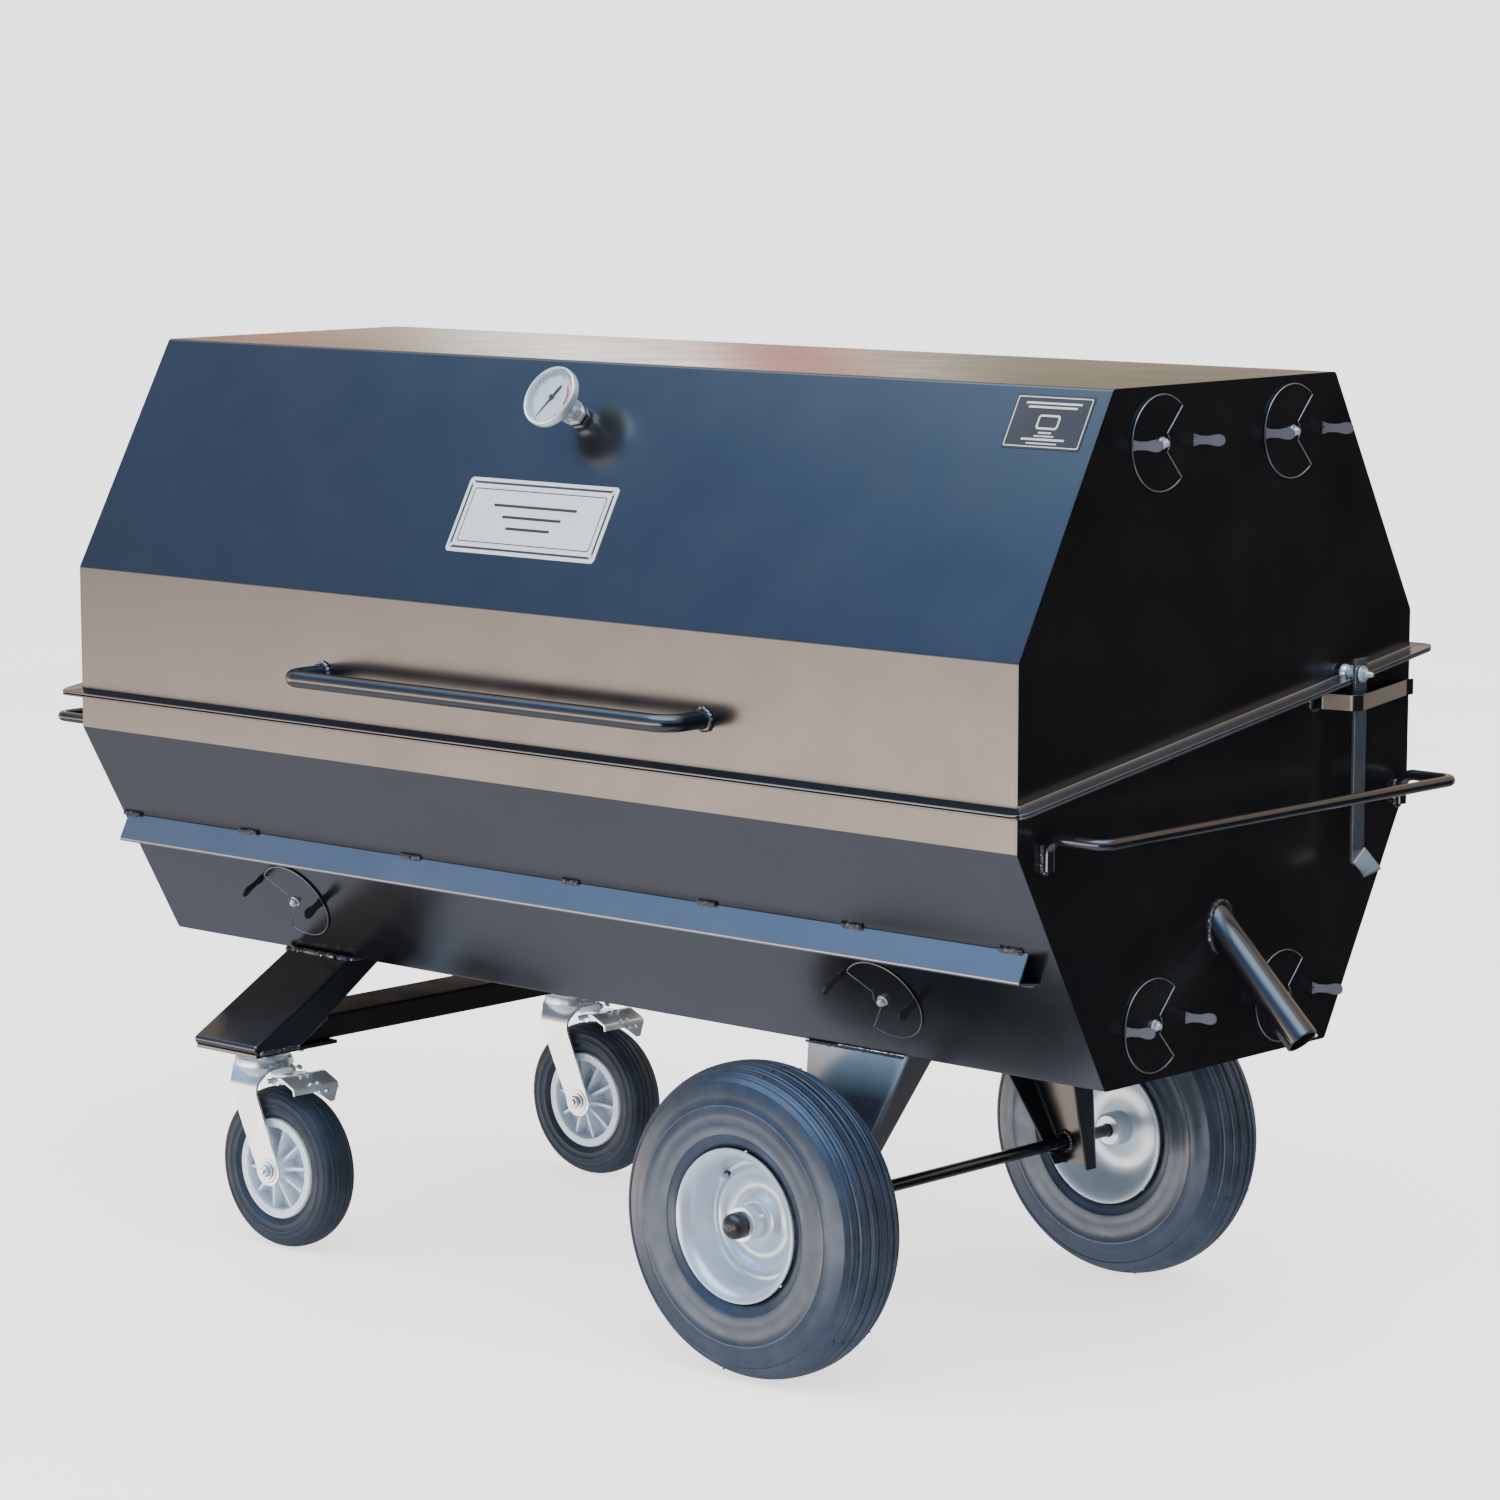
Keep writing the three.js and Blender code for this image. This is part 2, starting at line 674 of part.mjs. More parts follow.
// Two barrel hinges at the back of the seam.
function hingeLeaf(x, ofLid) {
  const knuckles = ofLid ? [[-13.5, 13.5]] : [[-42, -14], [14, 42]];
  const from = ofLid ? SEAM_GAP / 2 + SHEET + GAP : -SEAM_GAP / 2 - 2 * SHEET - GAP;
  const parts = [box(x - 42, x + 42, 460, 484, from, from + SHEET)];
  for (const [a, b] of knuckles) {
    parts.push(box(x + a, x + b, 483, HINGE_S, from, from + SHEET));
    parts.push(alongX(rod(KNUCKLE_R, x + a, x + b, 12), 0, HINGE_S, 0));
  }
  const leaf = union(parts);
  const result = ofLid
    ? leaf.subtract(alongX(rod(4, x - 50, x + 50, 8), 0, HINGE_S, 0))
    : leaf.add(alongX(rod(3.4, x - 46, x + 46, 8), 0, HINGE_S, 0));
  return onSeam(result);
}
for (const [side, x] of [["left", -620], ["right", 620]]) {
  piece(tub, `hinge_leaf_tub_${side}`, hingeLeaf(x, false), BLACK);
  piece(lid, `hinge_leaf_lid_${side}`, hingeLeaf(x, true), BLACK);
}

// ---- dampers ------------------------------------------------------------------------------------

for (const [name, seat] of Object.entries(damperPlaces)) {
  piece(dampers, name, onWall(damperDisc(seat.wall), seat), BLACK);
}

// ---- inside -------------------------------------------------------------------------------------

// Drip pan, falling towards the drain end where a slot opens above the pipe.
function dripPan() {
  const half = 120;
  const outer = prism([[-half, 0], [half, 0], [half, 34], [-half, 34]], "x", -930, 940);
  const hollow = box(-928, 928, -half + 2, half - 2, 2, 60);
  const lip = box(926, 950, -16, 16, 2, 60);
  const frontLip = box(930, 960, -half - 1, -18, -5, 60);
  const backLip = box(930, 960, 18, half + 1, -5, 60);
  const pan = outer.subtract(frontLip).subtract(backLip);
  const open = pan.subtract(hollow).subtract(lip);
  const angle = Math.atan(25 / 1880);
  const along = [Math.cos(angle), 0, -Math.sin(angle)];
  const up = [Math.sin(angle), 0, Math.cos(angle)];
  return placed(open, [0, 0, 702.4], along, up);
}
piece(inside, "drip_pan", dripPan(), STAINLESS);

// Charcoal grate resting on the sloping sides: a rectangular frame with crossing bars.
function fireGrate() {
  const z = 590;
  const half = HALF_FLOOR + ((z - FLOOR_Z) / (BEND_LOW_Z - FLOOR_Z)) * (HALF_WIDE - HALF_FLOOR) - SHEET - 2;
  const [columns, rows, bar] = [9, 2, 12];
  const stepX = (1800 - bar) / columns;
  const stepY = (2 * half - bar) / rows;
  let grate = box(-900, 900, -half, half, z, z + 6);
  for (let i = 0; i < columns; i += 1) {
    for (let j = 0; j < rows; j += 1) {
      const x = -900 + bar + i * stepX;
      const y = -half + bar + j * stepY;
      grate = grate.subtract(box(x, x + stepX - bar, y, y + stepY - bar, z - 1, z + 7));
    }
  }
  return grate;
}
piece(inside, "fire_grate", fireGrate(), DARK_STEEL);

// Open-topped cradle that carries the right-hand end of the spit.
function spitCradle() {
  const wall = HALF_LENGTH - SHEET - GAP;
  const hollow = box(wall - 31, wall + 1, -29, 29, 770, 880);
  const channel = box(wall - 36, wall, -34, 34, 780, 872).subtract(hollow);
  const notch = union(
    box(wall - 40, wall - 20, -SPIT_R - 0.8, SPIT_R + 0.8, SPIT_Z, 900),
    alongX(rod(SPIT_R + 0.8, wall - 40, wall - 20, 20), 0, 0, SPIT_Z),
  );
  const tie = box(wall - 33, wall - 3, -31, 31, 780, 784);
  return union(channel, tie).subtract(notch);
}
piece(inside, "spit_cradle", spitCradle(), DARK_STEEL);

// Flanged bush in the left wall.
function driveBush() {
  const sleeve = rod(17, -978, -940, 16);
  const flange = rod(30, -HALF_LENGTH - GAP - 5, -HALF_LENGTH - GAP, 16);
  return alongX(union(sleeve, flange).subtract(rod(SPIT_R + 0.6, -990, -930, 16)), 0, 0, SPIT_Z);
}
piece(inside, "drive_bush", driveBush(), DARK_STEEL);

// Bracket and gear motor outside the left wall.
function motorBracket() {
  const wall = -HALF_LENGTH - GAP;
  const foot = box(wall - 4, wall, -70, 70, 742, 800);
  const shelf = box(wall - 150, wall, -70, 70, 742, 746);
  const rib = prism([[wall - 2, 743], [wall - 140, 743], [wall - 2, 700]], "y", -3, 3);
  return union(foot, shelf, rib);
}
piece(inside, "motor_bracket", motorBracket(), BLACK);

function gearMotor() {
  const gearbox = box(-1046, -985, -55, 55, 746 + GAP, 912);
  const motor = alongX(rod(40, -1122, -1045, 20), 0, 0, 864);
  const feet = box(-1080, -985, -62, 62, 746 + GAP, 754);
  const inlet = box(-1040, -1005, -70, -54, 780, 812);
  const spitBore = alongX(rod(SPIT_R + 0.6, -1030, -980, 20), 0, 0, SPIT_Z);
  return union(gearbox, motor, feet, inlet).subtract(spitBore);
}
piece(inside, "gear_motor", gearMotor(), MOTOR_GREY);

// Spit and its two forks, clamped to the shaft by thumb screws.
function spit() {
  const shaft = rod(SPIT_R, -1028, 938, 20);
  return alongX(shaft, 0, 0, SPIT_Z);
}
piece(inside, "spit_rod", spit(), STAINLESS);

function fork(x, facing) {
  const hub = rod(22, -18, 18, 14);
  const parts = [hub];
  for (const degrees of [0, 90, 180, 270]) {
    const arm = box(18, 72, -4, 4, -5, 5);
    const tine = placed(rod(4, 0, 150, 6), [68, 0, 0], [1, 0, 0], [0, 0, 1]);
    parts.push(union(arm, tine).rotate([0, 0, degrees]));
  }
  const screw = placed(rod(5, 15, 52, 10), [0, 0, 0], [0, 0, 1], [1, 1, 0]);
  const wing = placed(box(-14, 14, -2, 2, 48, 66), [0, 0, 0], [0, 0, 1], [1, 1, 0]);
  const body = union(parts, screw, wing).subtract(rod(SPIT_R + GAP, -30, 30, 20));
  return placed(body, [x, 0, SPIT_Z], [0, 1, 0], [facing, 0, 0]);
}
piece(inside, "fork_left", fork(-520, 1), STAINLESS);
piece(inside, "fork_right", fork(520, -1), STAINLESS);

// ---- legs and axle ------------------------------------------------------------------------------

const LEG_X0 = -691;
const LEG_X1 = -545;
const PAD_Z = CASTER_TOP_Z + GAP;

// Slanting box leg above each caster, with the flat pad the caster bolts to.
function casterLeg(side) {
  const outline = [[262, 456.7], [178, 456.7], [369, PAD_Z + 5], [462, PAD_Z + 5], [466, 338]];
  const inner = [[256, 451], [190, 451], [369, PAD_Z + 10], [455, PAD_Z + 10], [458, 338]];
  const leg = prism(outline, "x", LEG_X0, LEG_X1).subtract(prism(inner, "x", LEG_X0 + 4, LEG_X1 - 4));
  const pad = box(LEG_X0, LEG_X1, 286, 462, PAD_Z, PAD_Z + 6);
  const port = box(LEG_X0 + 50, LEG_X0 + 70, 380, 400, PAD_Z - 1, PAD_Z + 20);
  const whole = union(leg, pad).subtract(port);
  return side > 0 ? whole : whole.mirror([0, 1, 0]);
}
piece(gear, "leg_caster_front", casterLeg(-1), BLACK);
piece(gear, "leg_caster_back", casterLeg(1), BLACK);

function crossBeam() {
  const [x0, x1, z0, z1] = [-662, -560, PAD_Z + 6 + GAP, 369];
  const reach = 369;
  const hollow = box(x0 + 4, x1 - 4, -reach - 1, reach + 1, z0 + 4, z1 - 4);
  const tube = box(x0, x1, -reach, reach, z0, z1).subtract(hollow);
  const slope = (456.7 - (PAD_Z + 5)) / (369 - 178);
  const top = 178 + (456.7 - z1) / slope - 5;
  const keep = [[-top, z1 + 1], [top, z1 + 1], [reach - 8, z0 - 1], [-reach + 8, z0 - 1]];
  return tube.intersect(prism(keep, "x", x0 - 1, x1 + 1));
}
piece(gear, "caster_cross_beam", crossBeam(), BLACK);

// Folded channel leg above each big wheel.
function wheelLeg() {
  const [left, right, foot, low] = [412.6, 602, 494 - 16, 196];
  const web = [[left, 456.7], [right, 456.7], [foot, low], [left, low]];
  const depth = [[WEB_Y, 456.7], [WEB_Y - 72, 456.7], [WEB_Y - 30, low], [WEB_Y, low]];
  const outer = prism(web, "y", WEB_Y - 80, WEB_Y).intersect(prism(depth, "x", left - 1, right + 1));
  const inner = [[left + 4, 470], [right + 1, 470], [foot - 5, low - 10], [left + 4, low - 10]];
  const hollow = prism(inner, "y", WEB_Y - 90, WEB_Y - 4);
  const boss = alongY(rod(17, WEB_Y - 16, WEB_Y, 12), WHEEL_X, 0, TYRE_R).intersect(prism(web, "y", 0, 400));
  const bore = alongY(rod(AXLE_R + 0.6, 150, 300, 16), WHEEL_X, 0, TYRE_R);
  return union(outer.subtract(hollow), boss).subtract(bore);
}
const backLeg = placed(wheelLeg().mirror([1, 0, 0]), [2 * WHEEL_X, 0, 0], [1, 0, 0], [0, 0, 1]);
piece(gear, "leg_wheel_back", backLeg, BLACK);
piece(gear, "leg_wheel_front", wheelLeg().mirror([0, 1, 0]), BLACK);

piece(gear, "axle", alongY(rod(AXLE_R, -486, 486, 20), WHEEL_X, 0, TYRE_R), BLACK);

// ---- big wheels ---------------------------------------------------------------------------------

function tyre(radius, width, rimRadius, bead) {
  const half = width / 2;
  const profile = [
    [rimRadius, -bead], [radius * 0.66, -half * 0.97],
    [radius * 0.84, -half * 0.88], [radius * 0.955, -half * 0.62],
    [radius, -half * 0.24], [radius, half * 0.24],
    [radius * 0.955, half * 0.62], [radius * 0.84, half * 0.88],
    [radius * 0.66, half * 0.97], [rimRadius, bead],
  ];
  return turned(profile, 28);
}

// Dished steel rim with its hub tube, turned as one piece.
function wheelRim() {
  const profile = [
    [11, -44], [26, -44], [26, -14], [60, -8], [90, -22], [94, -52], [110, -60], [110, -55], [99, -44],
    [99, 44], [110, 55], [110, 60], [94, 52], [92, -2], [60, 2], [26, 8], [26, 64], [11, 64],
  ];
  return turned(profile, 22);
}

for (const [side, sign] of [["front", -1], ["back", 1]]) {
  const place = (solid) => placed(solid, [WHEEL_X, sign * WHEEL_Y, TYRE_R], [1, 0, 0], [0, sign, 0]);
  piece(gear, `wheel_tyre_${side}`, place(tyre(TYRE_R, TYRE_WIDTH, 112, 50)), TYRE_RUBBER);
  piece(gear, `wheel_rim_${side}`, place(wheelRim()), RIM_PAINT);
}

// ---- casters ------------------------------------------------------------------------------------

function casterPlate() {
  const plate = box(-58, 58, -50, 50, CASTER_TOP_Z - 5, CASTER_TOP_Z);
  const race = rod(34, CASTER_TOP_Z - 18, CASTER_TOP_Z - 4, 18);
  const kingpin = rod(8, CASTER_TOP_Z - 34, CASTER_TOP_Z - 5, 10);
  return union(plate, race, kingpin);
}

function casterFork() {
  const half = CASTER_WIDTH / 2 + 7;
  const crown = turned(
    [[9, 283.5], [46, 283.5], [46, 287.5], [44, 303.5], [38, 303.5], [36, 289.5], [9, 289.5]],
    14,
  );
  const bridge = box(-42, 42, -half, half, 279, 284.5).subtract(rod(9, 270, 300, 16));
  const cheek = [
    [-42, 284], [-42, 262], [-34, 240],
    [CASTER_TRAIL - 16, 118], [CASTER_TRAIL - 8, 110],
    [CASTER_TRAIL + 8, 110], [CASTER_TRAIL + 16, 118],
    [CASTER_TRAIL + 18, 132], [56, 260], [56, 284],
  ];
  const cheeks = [
    prism(cheek, "y", -half - 4, -half),
    prism(cheek, "y", half, half + 4),
    box(-42, 42, -half - 4, -half + 1, 279, 284),
    box(-42, 42, half - 1, half + 4, 279, 284),
  ];
  const bolt = alongY(rod(6, -half - 14, half + 14, 12), CASTER_TRAIL, 0, CASTER_R);
  return union(crown, bridge, cheeks, bolt);
}

function casterHub() {
  const half = CASTER_WIDTH / 2;
  const barrel = turned([[6.6, -half - 4], [17, -half - 4], [17, half + 4], [6.6, half + 4]], 16);
  const felloe = turned([[70, -27], [80, -29], [80, 29], [70, 27]], 28);
  const disc = turned([[15, -3], [72, -3], [72, 3], [15, 3]], 16);
  const spokes = [];
  for (let i = 0; i < 10; i += 1) spokes.push(box(14, 73, -2.5, 2.5, -24, 24).rotate([0, 0, 36 * i]));
  return union(barrel, felloe, disc, spokes);
}

function brakePedal() {
  const tread = box(62, 118, -24, 24, 272, 276);
  const toe = box(114, 118, -24, 24, 251, 276);
  const web = box(47, 64, -16, 16, 267, 276);
  const pivot = alongY(rod(4, -CASTER_WIDTH / 2 - 6.6, CASTER_WIDTH / 2 + 6.6, 10), 50, 0, 270);
  return union(tread, toe, web, pivot);
}

for (const [side, sign] of [["front", -1], ["back", 1]]) {
  const x = CASTER_X - CASTER_TRAIL;
  const y = sign * CASTER_Y;
  const at = (solid) => solid.translate([x, y, 0]);
  const spun = (solid) => alongY(solid, CASTER_X, y, CASTER_R);
  piece(gear, `caster_plate_${side}`, at(casterPlate()), ZINC);
  piece(gear, `caster_fork_${side}`, at(casterFork()), ZINC);
  piece(gear, `brake_pedal_${side}`, at(brakePedal()), ZINC);
  piece(gear, `caster_hub_${side}`, spun(casterHub()), CAST_HUB);
  piece(gear, `caster_tyre_${side}`, spun(tyre(CASTER_R, CASTER_WIDTH, 80.4, 24)), TYRE_RUBBER);
}

// Set the origin on the ground under the middle of the overall box.
const bounds = new THREE.Box3().setFromObject(roaster);
const middle = bounds.getCenter(new THREE.Vector3());
roaster.position.set(-middle.x, -middle.y, -bounds.min.z);

export default roaster;
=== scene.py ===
import math
import random

import bmesh
import bpy
import numpy as np
from mathutils import Matrix, Vector, geometry


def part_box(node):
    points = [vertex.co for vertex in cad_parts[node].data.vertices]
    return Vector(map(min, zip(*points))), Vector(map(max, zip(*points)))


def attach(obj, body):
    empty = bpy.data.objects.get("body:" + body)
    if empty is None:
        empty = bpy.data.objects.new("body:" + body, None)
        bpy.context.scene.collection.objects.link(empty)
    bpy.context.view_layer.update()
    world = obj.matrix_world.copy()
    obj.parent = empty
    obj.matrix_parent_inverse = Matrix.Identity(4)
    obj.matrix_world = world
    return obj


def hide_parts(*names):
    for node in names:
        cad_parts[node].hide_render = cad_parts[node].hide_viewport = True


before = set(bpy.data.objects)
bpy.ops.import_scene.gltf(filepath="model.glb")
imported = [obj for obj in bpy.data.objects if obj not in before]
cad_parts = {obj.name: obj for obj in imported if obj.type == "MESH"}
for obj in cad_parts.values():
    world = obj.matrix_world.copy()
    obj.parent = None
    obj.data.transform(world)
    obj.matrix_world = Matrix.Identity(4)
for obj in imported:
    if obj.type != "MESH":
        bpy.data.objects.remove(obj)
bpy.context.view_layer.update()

# Millimetres about the tub's centre line are turned into the row frame with these offsets.
DX = (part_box("lid_shell")[0].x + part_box("lid_shell")[1].x) / 2
DY = (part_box("axle")[0].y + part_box("axle")[1].y) / 2

HALF_LENGTH, TOP_Z, BEND_HIGH_Z, BEND_LOW_Z, FLOOR_Z = 960, 1418, 1065, 808, 457
HALF_TOP, HALF_WIDE, HALF_FLOOR, SHEET = 254, 450.6, 256, 3
SEAM_Z, SEAM_SLOPE, FLANGE, SEAM_GAP = 936.5, 0.152, 28, 1.2
TYRE_R, WHEEL_X, WHEEL_Y, AXLE_R = 228.6, 474, 418, 9.5
CASTER_R, CASTER_X, CASTER_Y, TRAIL, CASTER_TOP_Z = 129, -598, 350, 55, 324
WEB_Y, SPIT_Z, SPIT_R, DISC_R = 272, 850, 11, 66
CROWN, CASTER_HALF = 17, 34
HANDLE_X, HANDLE_Z, DRAIN_Z, LEG_TOP_Z = 394, 941, 655, 456.5
STAY_Y, STAY_Z, GRATE_Z, GAUGE_Z = 281, 987.5, 590, 1340
# The view, in metres and degrees.
EYE = (4.95575, -5.37424, 1.83782)
EYE_AZIMUTH, EYE_ELEVATION, EYE_ROLL, EYE_LENS = 43.35, 8.865, -0.17, 115.70232


# ---- camera and stage ---------------------------------------------------------------------------


def place_camera():
    az, el, roll = (math.radians(a) for a in (EYE_AZIMUTH, EYE_ELEVATION, EYE_ROLL))
    forward = Vector((-math.sin(az) * math.cos(el), math.cos(az) * math.cos(el), -math.sin(el)))
    side = forward.cross(Vector((0, 0, 1))).normalized()
    up = side.cross(forward)
    right = side * math.cos(roll) + up * math.sin(roll)
    top = up * math.cos(roll) - side * math.sin(roll)
    data = bpy.data.cameras.new("camera")
    data.sensor_width = 36
    data.lens = EYE_LENS
    data.shift_x, data.shift_y = 0.06, 0.05
    data.clip_start, data.clip_end = 0.1, 200
    camera = bpy.data.objects.new("camera", data)
    bpy.context.scene.collection.objects.link(camera)
    turn = Matrix((right, top, -forward)).transposed().to_4x4()
    place = Vector(EYE) + Vector((DX, DY, 0))
    camera.matrix_world = Matrix.Translation(place) @ turn
    bpy.context.scene.camera = camera


# ---- materials ----------------------------------------------------------------------------------


class Nodes:
    """A material's node tree with short helpers."""

    def __init__(self, name):
        self.material = bpy.data.materials.new(name)
        self.material.use_nodes = True
        self.tree = self.material.node_tree
        self.shader = self.tree.nodes["Principled BSDF"]
        self.coords = self.add("ShaderNodeTexCoord").outputs["Object"]

    def add(self, kind, **settings):
        node = self.tree.nodes.new(kind)
        for key, value in settings.items():
            setattr(node, key, value)
        return node

    def link(self, source, target):
        self.tree.links.new(source, target)

    def noise(self, scale, detail=3.0, rough=0.5, stretch=None):
        node = self.add("ShaderNodeTexNoise")
        node.inputs["Scale"].default_value = scale
        node.inputs["Detail"].default_value = detail
        node.inputs["Roughness"].default_value = rough
        source = self.coords
        if stretch:
            mapping = self.add("ShaderNodeMapping")
            mapping.inputs["Scale"].default_value = stretch
            self.link(source, mapping.inputs["Vector"])
            source = mapping.outputs["Vector"]
        self.link(source, node.inputs["Vector"])
        return node.outputs["Fac"]

    def ramp(self, source, stops):
        node = self.add("ShaderNodeValToRGB")
        ramp = node.color_ramp
        while len(ramp.elements) < len(stops):
            ramp.elements.new(0.5)
        for element, (at, colour) in zip(ramp.elements, stops):
            element.position = at
            element.color = (*colour, 1)
        self.link(source, node.inputs["Fac"])
        return node.outputs["Color"]

    def span(self, source, low, high, start=0.3, end=0.7):
        node = self.add("ShaderNodeMapRange")
        for key, value in (("From Min", start), ("From Max", end), ("To Min", low), ("To Max", high)):
            node.inputs[key].default_value = value
        self.link(source, node.inputs["Value"])
        return node.outputs["Result"]

    def bump(self, source, distance, strength=1.0, after=None):
        node = self.add("ShaderNodeBump")
        node.inputs["Strength"].default_value = strength
        node.inputs["Distance"].default_value = distance
        self.link(source, node.inputs["Height"])
        if after is not None:
            self.link(after, node.inputs["Normal"])
        return node.outputs["Normal"]

    def finish(self, colour=None, roughness=None, normal=None, **constants):
        names = {"metallic": "Metallic", "ior": "IOR"}
        for key, value in constants.items():
            self.shader.inputs[names[key]].default_value = value
        for source, name in ((colour, "Base Color"), (roughness, "Roughness"), (normal, "Normal")):
            if source is not None:
                self.link(source, self.shader.inputs[name])
        return self.material


def paint(name, dark, light, rough=(0.2, 0.3), ior=1.9, wave=0.0012, tint=(1, 1, 1)):
    m = Nodes(name)
    m.shader.inputs["Specular Tint"].default_value = (*tint, 1)
    colour = m.ramp(m.noise(6, 6, 0.6), [(0.35, dark), (0.75, light)])
    normal = m.bump(m.noise(1.6, 0, 0.4), wave)
    normal = m.bump(m.noise(700, 2), 0.00002, 0.6, normal)
    return m.finish(colour, m.span(m.noise(9, 5), *rough), normal, ior=ior)


def metal(name, dark, light, rough=(0.25, 0.4), metallic=1.0, grain=60, stretch=None, depth=0.00004):
    m = Nodes(name)
    colour = m.ramp(m.noise(grain, 4, 0.6, stretch), [(0.3, dark), (0.7, light)])
    normal = m.bump(m.noise(grain * 8, 3, 0.6, stretch), depth, 0.7)
    return m.finish(colour, m.span(m.noise(grain / 2, 4), *rough), normal, metallic=metallic)


def rubber(name, dark, light, rough, ior):
    m = Nodes(name)
    colour = m.ramp(m.noise(22, 8, 0.7), [(0.35, dark), (0.68, light)])
    normal = m.bump(m.noise(420, 4, 0.7), 0.00012, 0.8)
    normal = m.bump(m.noise(35, 3), 0.0006, 0.5, normal)
    m.shader.inputs["Specular Tint"].default_value = (0.6, 0.75, 1.0, 1)
    return m.finish(colour, m.span(m.noise(30, 5), *rough), normal, ior=ior)


def leg_paint():
    """Enamel on the wheel legs with a painted reflection: blue-grey towards the top of the outer face, clean
    black lower down.
    """
    m = Nodes("leg_enamel")
    split = m.add("ShaderNodeSeparateXYZ")
    m.link(m.coords, split.inputs[0])
    height = m.add("ShaderNodeMath", operation="MULTIPLY_ADD")
    m.link(m.noise(7, 4), height.inputs[0])
    height.inputs[1].default_value = 0.04
    m.link(split.outputs["Z"], height.inputs[2])
    across = m.add("ShaderNodeMath", operation="SUBTRACT")
    m.link(split.outputs["Y"], across.inputs[0])
    across.inputs[1].default_value = DY
    reach = m.add("ShaderNodeMath", operation="ABSOLUTE")
    m.link(across.outputs[0], reach.inputs[0])
    # Painted reflection: the upper outer web face is coloured blue-grey to stand in for reflected sky.
    leg_painted_reflection = m.add("ShaderNodeMath", operation="MULTIPLY")
    m.link(m.span(height.outputs[0], 0, 1, 0.35, 0.475), leg_painted_reflection.inputs[0])
    m.link(m.span(reach.outputs[0], 0, 1, 0.244, 0.253), leg_painted_reflection.inputs[1])
    stops = [(0.0, (0.005, 0.006, 0.008)), (0.45, (0.02, 0.032, 0.05)), (1.0, (0.15, 0.24, 0.34))]
    colour = m.ramp(leg_painted_reflection.outputs[0], stops)
    normal = m.bump(m.noise(300, 2), 0.00002, 0.5)
    return m.finish(colour, m.span(m.noise(9, 5), 0.2, 0.3), normal, ior=1.8)


# The darkest and the lightest tone of each finish, before any reflection; the blue and tab tones are painted
# sheen, lighter than the black enamel to stand in for reflected sky.
GLOSS_DEEP, GLOSS_WORN = (0.003, 0.0035, 0.005), (0.007, 0.0075, 0.01)
BLACK_DEEP, BLACK_WORN = (0.0022, 0.0024, 0.003), (0.004, 0.0042, 0.005)
BLUE_DEEP, BLUE_SHEEN_LIGHT = (0.016, 0.022, 0.03), (0.026, 0.034, 0.046)
TAB_DEEP, TAB_SHEEN_LIGHT = (0.02, 0.022, 0.03), (0.032, 0.035, 0.046)
PLASTIC_DEEP, PLASTIC_WORN = (0.008, 0.008, 0.009), (0.016, 0.016, 0.017)


